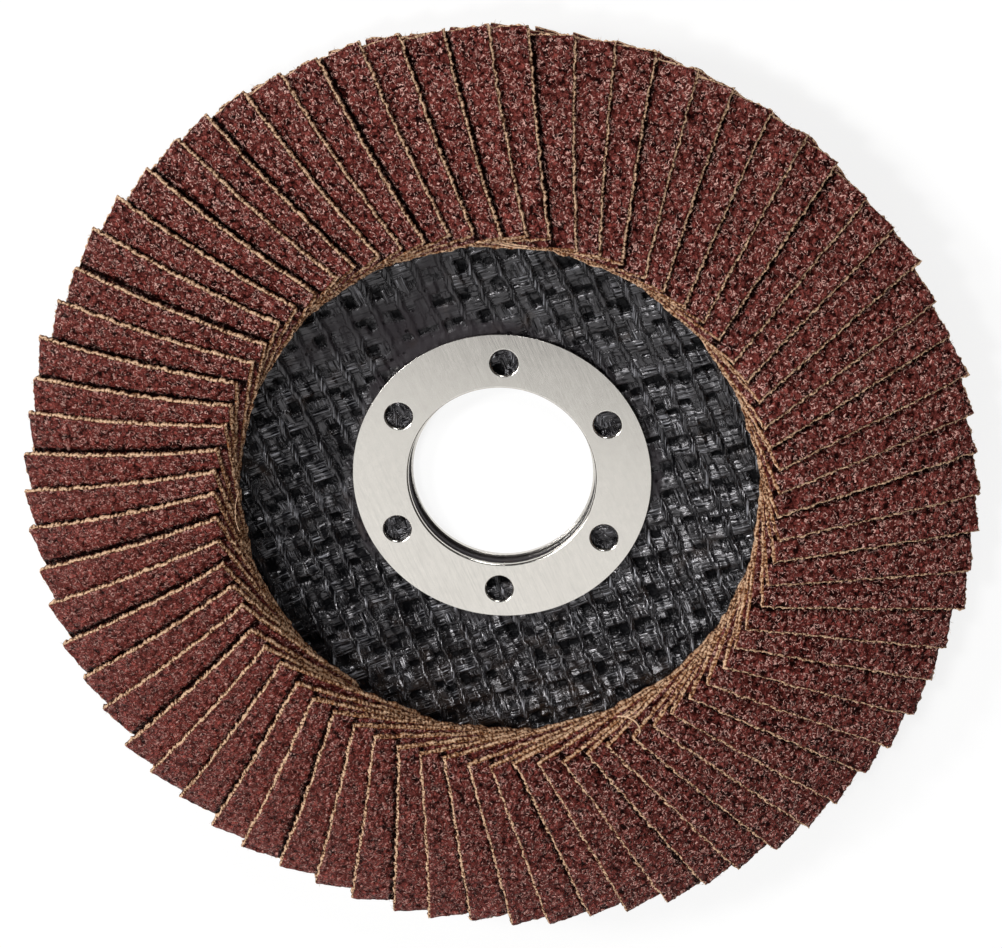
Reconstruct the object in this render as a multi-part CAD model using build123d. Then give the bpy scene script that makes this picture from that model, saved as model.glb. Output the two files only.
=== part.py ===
"""Flap disc, 115 mm class with a 22.23 mm bore: 72 abrasive cloth flaps on a woven glass plate.

Frame: the origin is the centre of the bore on the rear face of the hub, and +Z points out of the
abrasive face. The disc rests on its hub with the flaps upwards.
"""
from build123d import *
import os
from itertools import product
from math import atan2, cos, degrees, hypot, radians, sin

# ---- driving dimensions, millimetres and degrees ----
BORE_RADIUS = 22.23 / 2          # standard bore of a 115 mm grinder disc
SHEET = 0.6                      # steel sheet of both hub rings
SLEEVE_WALL = 0.385              # the rear ring's sleeve is drawn thinner than its sheet
SLEEVE_HEIGHT = 0.82
RING_RADIUS = 18.34              # outer radius of both hub rings
RING_HOLES = 6
RING_HOLE_RADIUS = 1.65
RING_HOLE_CIRCLE = 14.75         # radius of the circle that the holes lie on
RING_HOLE_PHASE = 28.9
ROLLED_EDGE = 0.25               # the front ring is rolled over at the bore
THROUGH = 5.0                    # length of a cutter that passes right through the steel

LAMINATE = 1.8                   # thickness of the pressed glass plate
FLOOR_RADIUS = 19.8              # the plate is flat under the hub rings up to here
CROWN_RADIUS = 33.2              # the flap bed begins here
DISH_RISE = 2.9                  # height of the crown above the flat floor
BED_FALL = 1.9                   # drop of the flap bed from the crown to the rim
PLATE_RADIUS = 54.5

MESH_PITCH = (3.26, 3.65)        # between narrow strands, and between wide strands
MESH_SHIFT = (0.7, 0.5)          # first gap from the bore's axis, in parts of a pitch
MESH_GAP = (2.1, 2.1)            # open width between the strands, each way
MESH_DEPTH = 0.4                 # the gaps lie this far below the strands
WIDE_STRAND_ANGLE = 19.5         # direction of the strands, measured from +X
NARROW_STRAND_ANGLE = 113.0
MESH_RADII = (22.8, 29.4)         # gaps nearer to the ring or the flaps are full of resin

FLAP_COUNT = 72
FLAPS_PER_NODE = 2
FLAP_LENGTH = 25.0
FLAP_WIDTH = 20.0
FLAP_THICKNESS = 0.75
FLAP_BEND = 75.0                 # each flap is bent to this radius
FLAP_STRIPS = 3                  # straight strips that the bend is made of
FLAP_BEND_TURN = 55.0            # direction of the bend's axis, from the flap's length
FLAP_CENTRE = (44.56, -0.15, 9.23)
FLAP_ROLL = -16.4                # the free long edge stands higher than the buried one
FLAP_PITCH = 7.8                 # the working face falls towards the rim
FLAP_SKEW = 1.0
FLAP_PHASE = 1.46                # azimuth of the first flap's centre line
FLAP_SWINGS = (0.22, 0.12)       # flaps lie askew by these angles, in two waves round the ring
SWING_RATES = (2.4, 0.61)        # turn of each wave from one flap to the next, in radians
FLAP_MISSES = (0.22, 0.12)       # and they lie this far in or out, in two waves
MISS_RATES = (1.7, 4.1)
GLUE_DEPTHS = {34.5: 0.55, 53.6: 0.85}    # depth of the glue at these radii


def front_height(radius):
    """Height of the plate's front surface at a radius: flat hub, dish wall, bed under the flaps."""
    climb = max(0, min(radius, CROWN_RADIUS) - FLOOR_RADIUS) / (CROWN_RADIUS - FLOOR_RADIUS)
    fall = max(0, radius - CROWN_RADIUS) / (PLATE_RADIUS - CROWN_RADIUS)
    return SHEET + LAMINATE + DISH_RISE * climb - BED_FALL * fall


def layer(lower, upper):
    """Ring-shaped layer on the plate's front surface, from its lifts at a few radii below and above."""
    low = [(radius, front_height(radius) + lift) for radius, lift in lower.items()]
    high = [(radius, front_height(radius) + lift) for radius, lift in upper.items()]
    return revolve(Plane.XZ * make_face(Polyline(*low, *reversed(high), close=True)), Axis.Z)


def hub_ring():
    """Front ring: a flat steel washer with six punched holes."""
    seat = Pos(0, 0, SHEET + LAMINATE)
    washer = seat * Cylinder(RING_RADIUS, SHEET, align=(Align.CENTER, Align.CENTER, Align.MIN))
    washer -= seat * Cylinder(BORE_RADIUS + SLEEVE_WALL, THROUGH)
    holes = PolarLocations(RING_HOLE_CIRCLE, RING_HOLES, start_angle=RING_HOLE_PHASE)
    washer -= seat * holes * Cylinder(RING_HOLE_RADIUS, THROUGH)
    front = washer.edges().filter_by(GeomType.CIRCLE).group_by(Axis.Z)[-1]
    bore = front.filter_by(lambda edge: RING_HOLE_RADIUS < edge.radius < RING_RADIUS)
    return chamfer(bore, ROLLED_EDGE)


def hub_collar():
    """Rear ring: a flat flange whose bore is drawn up into the plate as a short sleeve."""
    flange = Cylinder(RING_RADIUS, SHEET, align=(Align.CENTER, Align.CENTER, Align.MIN))
    sleeve = Cylinder(
        BORE_RADIUS + SLEEVE_WALL, SLEEVE_HEIGHT, align=(Align.CENTER, Align.CENTER, Align.MIN)
    )
    return flange + sleeve - Cylinder(BORE_RADIUS, THROUGH)


def mesh_gaps():
    """One cutter for each gap between the crossing strands, square to the dish wall."""
    wide = radians(WIDE_STRAND_ANGLE)
    narrow = radians(NARROW_STRAND_ANGLE)
    slope = degrees(atan2(DISH_RISE, CROWN_RADIUS - FLOOR_RADIUS))
    reach = int(MESH_RADII[1] / min(MESH_PITCH)) + 1
    gaps = []
    for column, row in product(range(-reach, reach), repeat=2):
        along = (column + MESH_SHIFT[0]) * MESH_PITCH[0]
        across = (row + MESH_SHIFT[1]) * MESH_PITCH[1]
        x = along * cos(wide) + across * cos(narrow)
        y = along * sin(wide) + across * sin(narrow)
        radius = hypot(x, y)
        azimuth = degrees(atan2(y, x))
        if MESH_RADII[0] < radius < MESH_RADII[1]:
            place = Rot(0, 0, azimuth) * Pos(radius, 0, front_height(radius)) * Rot(0, -slope, 0)
            gaps.append(place * Rot(0, 0, WIDE_STRAND_ANGLE - azimuth) * Box(*MESH_GAP, 2 * MESH_DEPTH))
    return gaps


def backing_plate():
    """Pressed laminate: flat hub, dished wall with the open glass mesh, and bed under the flaps."""
    corners = (BORE_RADIUS + SLEEVE_WALL, FLOOR_RADIUS, CROWN_RADIUS, PLATE_RADIUS)
    return layer(dict.fromkeys(corners, -LAMINATE), dict.fromkeys(corners, 0)) - mesh_gaps()


def bent_sheet():
    """One flap's cloth in its own place: a flat rectangle bent about an oblique axis.

    The bend lets the inner end lie steeper than the outer end without stretching the cloth.
    """
    step = degrees(hypot(FLAP_LENGTH, FLAP_WIDTH) / FLAP_BEND) / FLAP_STRIPS
    turns = [radians((line - FLAP_STRIPS / 2) * step) for line in range(FLAP_STRIPS + 1)]

    def bend(radius):
        return [(radius * sin(turn), radius * cos(turn) - FLAP_BEND) for turn in turns]

    section = Polyline(*bend(FLAP_BEND), *reversed(bend(FLAP_BEND - FLAP_THICKNESS)), close=True)
    roll = extrude(Plane.YZ * make_face(section), FLAP_LENGTH, both=True)
    sheet = (Rot(0, 0, FLAP_BEND_TURN) * roll) & Box(FLAP_LENGTH, FLAP_WIDTH, FLAP_WIDTH)
    turn = Rot(0, 0, FLAP_SKEW) * Rot(0, FLAP_PITCH, 0) * Rot(FLAP_ROLL, 0, 0)
    return Pos(*FLAP_CENTRE) * turn * sheet


def waves(heights, rates, index):
    """Sum of the sine waves of these heights at one flap of the ring."""
    return sum(height * sin(rate * index) for height, rate in zip(heights, rates))


def lay(sheet, index):
    """Copy of the sheet at its place in the ring, with the small misses of laying by hand."""
    azimuth = FLAP_PHASE + index * 360 / FLAP_COUNT + waves(FLAP_SWINGS, SWING_RATES, index)
    return Rot(0, 0, azimuth) * Pos(waves(FLAP_MISSES, MISS_RATES, index), 0, 0) * sheet


def adhesive_bed():
    """Layer of glue on the plate, deeper towards the rim, which carries the buried edges of the flaps."""
    return layer(dict.fromkeys((min(GLUE_DEPTHS), max(GLUE_DEPTHS)), 0), GLUE_DEPTHS)


def write(name, shape):
    """Write one node."""
    export_step(shape, f"parts/{name}.step")


os.makedirs("parts", exist_ok=True)
write("hub_ring", hub_ring())
write("hub_collar", hub_collar())
write("backing_plate", backing_plate())
write("adhesive_bed", adhesive_bed())
cloth = bent_sheet()
for node in range(FLAP_COUNT // FLAPS_PER_NODE):
    first = node * FLAPS_PER_NODE
    stack = [lay(cloth, first + step) for step in range(FLAPS_PER_NODE)]
    write(f"flaps_{node + 1:02d}", Compound(stack))
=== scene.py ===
"""Looks of a flap disc: steel hub rings, a woven glass plate and 72 frayed flaps of abrasive cloth.

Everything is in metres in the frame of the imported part: the origin is the centre of the bore on the
rear face of the hub, and +Z points out of the abrasive face.
"""
import logging
import math
from dataclasses import dataclass, field
from enum import Enum

import bpy
import numpy as np
from mathutils import Matrix, Vector


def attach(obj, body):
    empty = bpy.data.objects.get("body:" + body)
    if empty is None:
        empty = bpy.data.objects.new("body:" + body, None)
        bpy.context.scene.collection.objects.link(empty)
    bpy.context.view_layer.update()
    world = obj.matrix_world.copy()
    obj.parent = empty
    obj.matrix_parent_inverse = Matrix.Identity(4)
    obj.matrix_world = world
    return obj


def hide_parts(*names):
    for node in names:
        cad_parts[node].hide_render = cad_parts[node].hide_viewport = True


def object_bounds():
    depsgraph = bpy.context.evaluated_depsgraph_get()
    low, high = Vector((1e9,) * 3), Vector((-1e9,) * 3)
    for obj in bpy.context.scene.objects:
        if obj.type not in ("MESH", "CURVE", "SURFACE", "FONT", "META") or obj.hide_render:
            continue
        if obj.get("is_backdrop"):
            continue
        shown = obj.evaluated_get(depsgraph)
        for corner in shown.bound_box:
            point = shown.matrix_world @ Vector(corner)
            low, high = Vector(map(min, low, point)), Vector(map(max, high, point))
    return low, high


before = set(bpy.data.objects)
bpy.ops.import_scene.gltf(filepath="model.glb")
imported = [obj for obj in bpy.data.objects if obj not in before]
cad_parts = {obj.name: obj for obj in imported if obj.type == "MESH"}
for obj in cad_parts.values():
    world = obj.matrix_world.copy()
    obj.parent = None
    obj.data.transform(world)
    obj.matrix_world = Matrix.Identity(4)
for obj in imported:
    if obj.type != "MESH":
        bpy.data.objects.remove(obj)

LOG = logging.getLogger("flap_disc")
CAD_BOX = [list(map(float, corner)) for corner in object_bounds()]
MM = 0.001
PRIMES = (374761393, 668265263, 2147483647)
MIXER = 1274126177
LARGEST_WORD = 0xFFFFFFFF

Socket = bpy.types.NodeSocket
Material = bpy.types.Material
NodeTree = bpy.types.NodeTree
Piece = bpy.types.Object
Place = tuple[float, float, float]
Colour = tuple[float, float, float, float]


# ---------------------------------------------------------------- shared numerics


def scatter(cells: np.ndarray, seed: int) -> np.ndarray:
    """Give each integer cell its own random number from 0 to 1.

    The cell's indices are multiplied by large primes, mixed by shifts and products in 32 bits, and
    divided by the largest value.

    Args:
        cells: Integer array whose last axis holds the two indices of a cell.
        seed: Number that picks one of many independent patterns.

    Returns:
        Array of the same shape without the last axis.
    """
    mixed = cells[..., 0] * PRIMES[0] + cells[..., 1] * PRIMES[1] + seed * PRIMES[2]
    mixed = np.bitwise_and(mixed, LARGEST_WORD)
    mixed = np.bitwise_and((mixed ^ (mixed >> 13)) * MIXER, LARGEST_WORD)
    mixed = mixed ^ (mixed >> 16)
    return mixed / LARGEST_WORD


def value_noise(places: np.ndarray, cell: float, seed: int) -> np.ndarray:
    """Smooth random field: random numbers on a square lattice, blended by a cubic step.

    Args:
        places: Array of points in a plane, last axis of length two.
        cell: Spacing of the lattice, in the unit of the points.
        seed: Number that picks the pattern.

    Returns:
        Values from -1 to 1.
    """
    scaled = places / cell
    corner = np.floor(scaled).astype(np.int64)
    part = scaled - corner
    ease = part * part * (3 - 2 * part)
    low = [scatter(corner + (step, 0), seed) for step in (0, 1)]
    high = [scatter(corner + (step, 1), seed) for step in (0, 1)]
    bottom = low[0] + (low[1] - low[0]) * ease[..., 0]
    top = high[0] + (high[1] - high[0]) * ease[..., 0]
    return 2 * (bottom + (top - bottom) * ease[..., 1]) - 1


def grain_field(
    places: np.ndarray, cell: float, seed: int, smallest: float = 0.45, spread: float = 0.7
) -> np.ndarray:
    """Field of rounded grains: each point takes the height of the highest grain that covers it.

    One centre lies at a random place in each square cell. The height of a grain falls with the square
    of the distance from its centre, and each grain has its own height.

    Args:
        places: Array of points in a plane, last axis of length two.
        cell: Mean spacing of the grains, in the unit of the points.
        seed: Number that picks the pattern.
        smallest: Height of the lowest grains.
        spread: How far a grain of height 1 spreads, as a squared share of the cell.

    Returns:
        Heights from 0 between grains to 1 on the highest.
    """
    scaled = places / cell
    corner = np.floor(scaled).astype(np.int64)
    height = np.zeros(scaled.shape[:-1])
    for column in (-1, 0, 1):
        for row in (-1, 0, 1):
            near = corner + (column, row)
            centre = near + np.stack([scatter(near, seed), scatter(near, seed + 1)], axis=-1)
            gap = np.sum((scaled - centre) ** 2, axis=-1)
            size = smallest + (1 - smallest) * scatter(near, seed + 2)
            height = np.maximum(height, size * np.clip(1 - gap / (spread * size), 0, 1))
    return height


def grid_quads(
    rows: int, columns: int, closed_rows: bool = False, closed_columns: bool = False
) -> np.ndarray:
    """Faces of a grid of points numbered row by row.

    Args:
        rows: Number of rows of points.
        columns: Number of points in a row.
        closed_rows: Whether the last row joins the first.
        closed_columns: Whether the last column joins the first.

    Returns:
        Array of faces with four point numbers each.
    """
    row = np.arange(rows if closed_rows else rows - 1)[:, None]
    column = np.arange(columns if closed_columns else columns - 1)[None, :]
    next_row = (row + 1) % rows
    next_column = (column + 1) % columns
    corners = [
        row * columns + column,
        row * columns + next_column,
        next_row * columns + next_column,
        next_row * columns + column,
    ]
    return np.stack(np.broadcast_arrays(*corners), axis=-1).reshape(-1, 4)


def revolved(section: np.ndarray, spokes: int, first: float) -> np.ndarray:
    """Points of a surface of revolution about the vertical axis, one ring for each section point.

    Args:
        section: Pairs of radius and height.
        spokes: Number of points in a ring.
        first: Angle of the first point of each ring.

    Returns:
        Points, ring by ring.
    """
    turns = first + np.linspace(0, 2 * math.pi, spokes, endpoint=False)
    plan = section[:, :1, None] * np.stack([np.cos(turns), np.sin(turns)])[None]
    heights = np.broadcast_to(section[:, 1:, None], (len(section), 1, spokes))
    return np.concatenate([plan, heights], axis=1).transpose(0, 2, 1).reshape(-1, 3)


def merge_points(
    points: np.ndarray, faces: np.ndarray, fineness: float = 1e4
) -> tuple[np.ndarray, list]:
    """Merge points that share a place to within a tenth of a micrometre.

    Args:
        points: Places in millimetres.
        faces: Faces with four point numbers each.
        fineness: Steps to a millimetre in which places are compared.

    Returns:
        The places that are left, and the faces with their new numbers.
    """
    rounded = np.round(points * fineness).astype(np.int64)
    _, kept, renumbered = np.unique(rounded, axis=0, return_index=True, return_inverse=True)
    return points[kept], renumbered.reshape(-1)[faces].tolist()


# ---------------------------------------------------------------- pieces and materials


class Node(Enum):
    """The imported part's nodes that have one solid each."""

    FRONT_RING = "hub_ring"
    REAR_COLLAR = "hub_collar"
    PLATE = "backing_plate"
    GLUE = "adhesive_bed"


class Slot(Enum):
    """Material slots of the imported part."""

    STEEL = "hub_steel"
    LAMINATE = "glass_laminate"
    GLUE = "resin_glue"
    CLOTH = "abrasive_cloth"


def add_piece(
    name: str,
    points: np.ndarray,
    faces: list,
    materials: list[Material],
    replaced: str,
) -> Piece:
    """Make one visible piece that stands for a node of the part.

    Args:
        name: Name of the piece.
        points: Places of its points, in metres.
        faces: Faces as lists of point numbers.
        materials: Its finishes, in the order that its faces name them.
        replaced: Node that the piece stands for.

    Returns:
        The new object, riding on the part.
    """
    mesh = bpy.data.meshes.new(name)
    mesh.from_pydata(points.tolist(), [], faces)
    mesh.polygons.foreach_set("use_smooth", np.ones(len(mesh.polygons), dtype=bool))
    for material in materials:
        mesh.materials.append(material)
    piece = bpy.data.objects.new(name, mesh)
    bpy.context.scene.collection.objects.link(piece)
    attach(piece, "root")
    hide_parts(replaced)
    return piece


def add_values(mesh: bpy.types.Mesh, name: str, values: np.ndarray) -> None:
    """Store one number for each point of a mesh, for its material to read.

    Args:
        mesh: The mesh.
        name: Name of the attribute.
        values: One number for each point.
    """
    layer = mesh.attributes.new(name, "FLOAT", "POINT")
    layer.data.foreach_set("value", values.astype(np.float32).ravel())


def add_flat_places(mesh: bpy.types.Mesh, flats: np.ndarray) -> None:
    """Store the flat place of each point on its cloth as the UV map "cloth".

    Args:
        mesh: The mesh.
        flats: Flat places in metres.
    """
    corners = np.empty(len(mesh.loops), dtype=np.int32)
    mesh.loops.foreach_get("vertex_index", corners)
    layer = mesh.uv_layers.new(name="cloth")
    layer.data.foreach_set("uv", flats[corners].astype(np.float32).ravel())


class Shader:
    """Short hand for the node tree of one material or node group."""

    def __init__(self, tree: NodeTree) -> None:
        """Keep the tree that the nodes go into."""
        self.tree = tree

    def add(self, kind: str, **settings: object) -> bpy.types.Node:
        """Add a node.

        Args:
            kind: Type of the node.
            **settings: Properties of the node and their values.

        Returns:
            The new node.
        """
        node = self.tree.nodes.new(kind)
        for key, value in settings.items():
            setattr(node, key, value)
        return node

    def plug(self, socket: Socket, value: object) -> None:
        """Link an input from another socket, or set its value.

        Args:
            socket: The input.
            value: A value, or a socket to link from.
        """
        if isinstance(value, Socket):
            self.tree.links.new(value, socket)
        else:
            socket.default_value = value

    def feed(self, node: bpy.types.Node, **inputs: object) -> bpy.types.Node:
        """Set or link inputs of a node by name, with underscores for spaces.

        Args:
            node: The node.
            **inputs: For each input, a value, or a socket to link from.

        Returns:
            The same node.
        """
        for key, value in inputs.items():
            self.plug(node.inputs[key.replace("_", " ")], value)
        return node

    def math(
        self, operation: str, first: object, second: object = 0.0, clamp: bool = False
    ) -> Socket:
        """Add a Math node and give its result.

        Args:
            operation: What it works out, as Blender names it.
            first: Value or socket of its first input.
            second: Value or socket of its second input.
            clamp: Whether the result is held between 0 and 1.

        Returns:
            The result's socket.
        """
        node = self.add("ShaderNodeMath", operation=operation, use_clamp=clamp)
        for socket, value in zip(node.inputs, (first, second)):
            self.plug(socket, value)
        return node.outputs[0]

    def span(
        self, value: Socket, low: float, high: float, start: float = 0.0, end: float = 1.0
    ) -> Socket:
        """Map a value from one range to another, held at the ends.

        Args:
            value: Socket of the value.
            low: Value that gives start.
            high: Value that gives end.
            start: Result at low.
            end: Result at high.

        Returns:
            The result's socket.
        """
        node = self.add("ShaderNodeMapRange")
        self.feed(node, Value=value, From_Min=low, From_Max=high, To_Min=start, To_Max=end)
        return node.outputs["Result"]

    def blend(
        self, amount: object, first: object, second: object, mode: str = "MIX"
    ) -> Socket:
        """Blend two colours.

        Args:
            amount: Share of the second, as a value or a socket.
            first: Colour or socket of the first.
            second: Colour or socket of the second.
            mode: How they blend, as Blender names it.

        Returns:
            The blended colour's socket.
        """
        node = self.add("ShaderNodeMix", data_type="RGBA", blend_type=mode)
        for name, value in (("Factor_Float", amount), ("A_Color", first), ("B_Color", second)):
            self.plug(next(socket for socket in node.inputs if socket.identifier == name), value)
        return next(socket for socket in node.outputs if socket.identifier == "Result_Color")

    def noise(
        self, place: Socket, scale: float, detail: float = 3.0, rough: float = 0.55
    ) -> Socket:
        """Add a noise texture and give its value.

        Args:
            place: Socket of the coordinates.
            scale: Waves to a unit of length.
            detail: Number of finer layers.
            rough: Strength of the finer layers.

        Returns:
            The value's socket.
        """
        node = self.add("ShaderNodeTexNoise")
        self.feed(node, Vector=place, Scale=scale, Detail=detail, Roughness=rough)
        return node.outputs["Fac"]

    def bump(
        self, height: Socket, distance: float, strength: float = 1.0, under: object = None
    ) -> Socket:
        """Add a bump and give its normal.

        Args:
            height: Socket of the height, from 0 to 1.
            distance: Length that a height of 1 stands for, in metres.
            strength: Share of the bump that is used.
            under: Normal that it starts from, or None for the surface's own.

        Returns:
            The normal's socket.
        """
        node = self.add("ShaderNodeBump")
        self.feed(node, Strength=strength, Distance=distance, Height=height)
        if under is not None:
            self.feed(node, Normal=under)
        return node.outputs["Normal"]

    def attribute(self, name: str) -> Socket:
        """Read a number that the mesh carries.

        Args:
            name: Name of the attribute.

        Returns:
            The value's socket.
        """
        return self.add("ShaderNodeAttribute", attribute_name=name).outputs["Fac"]

    def place(self) -> Socket:
        """Coordinates of the object, which are the part's own, in metres."""
        return self.add("ShaderNodeTexCoord").outputs["Object"]

    def flat(self) -> Socket:
        """Flat coordinates on the cloth, in metres."""
        return self.add("ShaderNodeUVMap", uv_map="cloth").outputs["UV"]

    def cells(self, place: Socket, scale: float) -> Socket:
        """Add a pattern of scattered cells and give the distance from the nearest cell's middle.

        Args:
            place: Socket of the coordinates.
            scale: Cells to a unit of length.

        Returns:
            The distance's socket.
        """
        node = self.add("ShaderNodeTexVoronoi", feature="F1")
        self.feed(node, Vector=place, Scale=scale)
        return node.outputs["Distance"]

    def join(self, first: Socket, second: Socket) -> bpy.types.Node:
        """Add two vectors.

        Args:
            first: Socket of the first.
            second: Socket of the second.

        Returns:
            The adding node.
        """
        node = self.add("ShaderNodeVectorMath", operation="ADD")
        self.plug(node.inputs[0], first)
        self.plug(node.inputs[1], second)
        return node


def new_material(name: str) -> tuple[Material, Shader, bpy.types.Node]:
    """Make an empty material with one Principled shader.

    Args:
        name: Name of the material.

    Returns:
        The material, the short hand for its nodes, and the Principled node.
    """
    material = bpy.data.materials.new(name)
    material.use_nodes = True
    material.node_tree.nodes.clear()
    shader = Shader(material.node_tree)
    body = shader.add("ShaderNodeBsdfPrincipled")
    output = shader.add("ShaderNodeOutputMaterial")
    shader.feed(output, Surface=body.outputs["BSDF"])
    return material, shader, body


def uneven_tone_group(fineness: float = 9.0) -> NodeTree:
    """Node group of uneven tone, which the steel, the laminate and the glue share.

    Inputs are a place, a scale and an amount. The output is a factor near 1 that a colour is
    multiplied by, from two sizes of noise.

    Args:
        fineness: How many times finer the second noise is.

    Returns:
        The group's tree.
    """
    tree = bpy.data.node_groups.new("uneven_tone", "ShaderNodeTree")
    tree.interface.new_socket("Place", in_out="INPUT", socket_type="NodeSocketVector")
    for name in ("Scale", "Amount"):
        tree.interface.new_socket(name, in_out="INPUT", socket_type="NodeSocketFloat")
    tree.interface.new_socket("Tone", in_out="OUTPUT", socket_type="NodeSocketFloat")
    shader = Shader(tree)
    source = shader.add("NodeGroupInput")
    result = shader.add("NodeGroupOutput")
    broad = shader.add("ShaderNodeTexNoise")
    shader.feed(broad, Vector=source.outputs["Place"], Scale=source.outputs["Scale"], Detail=4.0)
    fine_scale = shader.math("MULTIPLY", source.outputs["Scale"], fineness)
    fine = shader.add("ShaderNodeTexNoise")
    shader.feed(fine, Vector=source.outputs["Place"], Scale=fine_scale, Detail=2.0)
    both = shader.math("ADD", broad.outputs["Fac"], fine.outputs["Fac"])
    centred = shader.math("SUBTRACT", both, 1.0)
    swing = shader.math("MULTIPLY", centred, source.outputs["Amount"])
    shader.feed(result, Tone=shader.math("ADD", swing, 1.0))
    return tree


@dataclass(frozen=True)
class Finish:
    """What all finishes have: a name, a main colour and a roughness."""

    name: str
    colour: Colour
    roughness: float

    def toned(
        self, shader: Shader, tone: NodeTree, place: Socket, patches: float, amount: float
    ) -> Socket:
        """Main colour multiplied by the shared uneven tone.

        Args:
            shader: Short hand for the material's nodes.
            tone: The shared node group.
            place: Socket of the coordinates.
            patches: Scale of the broad patches.
            amount: Strength of the unevenness.

        Returns:
            The toned colour's socket.
        """
        group = shader.add("ShaderNodeGroup", node_tree=tone)
        shader.feed(group, Place=place, Scale=patches, Amount=amount)
        return shader.blend(1.0, self.colour, group.outputs["Tone"], "MULTIPLY")


@dataclass(frozen=True)
class SatinSteel(Finish):
    """Rolled sheet steel with fine brush lines in one direction."""

    brush_angle: float = math.radians(24)
    brush_scale: float = 5200.0
    brush_stretch: float = 22.0
    brush_depth: float = 0.00001
    streak_tones: tuple[float, float] = (0.89, 1.06)
    smoother: float = 0.05
    rougher: float = 0.08
    patch_scale: float = 120.0
    unevenness: float = 0.1

    def build(self, tone: NodeTree) -> Material:
        """Build the material.

        Args:
            tone: The shared uneven tone.

        Returns:
            The material.
        """
        material, shader, body = new_material(self.name)
        place = shader.place()
        turn = shader.add("ShaderNodeMapping", vector_type="TEXTURE")
        stretch = (1.0, self.brush_stretch, 1.0)
        shader.feed(turn, Vector=place, Rotation=(0.0, 0.0, self.brush_angle), Scale=stretch)
        lines = shader.noise(turn.outputs["Vector"], self.brush_scale, 2.0, 0.7)
        colour = self.toned(shader, tone, place, self.patch_scale, self.unevenness)
        streak = shader.span(lines, 0.34, 0.66, *self.streak_tones)
        shader.feed(body, Base_Color=shader.blend(1.0, colour, streak, "MULTIPLY"), Metallic=1.0)
        low, high = self.roughness - self.smoother, self.roughness + self.rougher
        shader.feed(body, Roughness=shader.span(lines, 0.3, 0.7, low, high))
        shader.feed(body, Normal=shader.bump(lines, self.brush_depth, 0.22))
        return material


@dataclass(frozen=True)
class LaminateMasks:
    """Values over the laminate, from 0 to 1, that its colour, gloss and bump share."""

    fibres: Socket
    specks: Socket
    pits: Socket
    dull: Socket
    hollow: Socket


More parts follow.
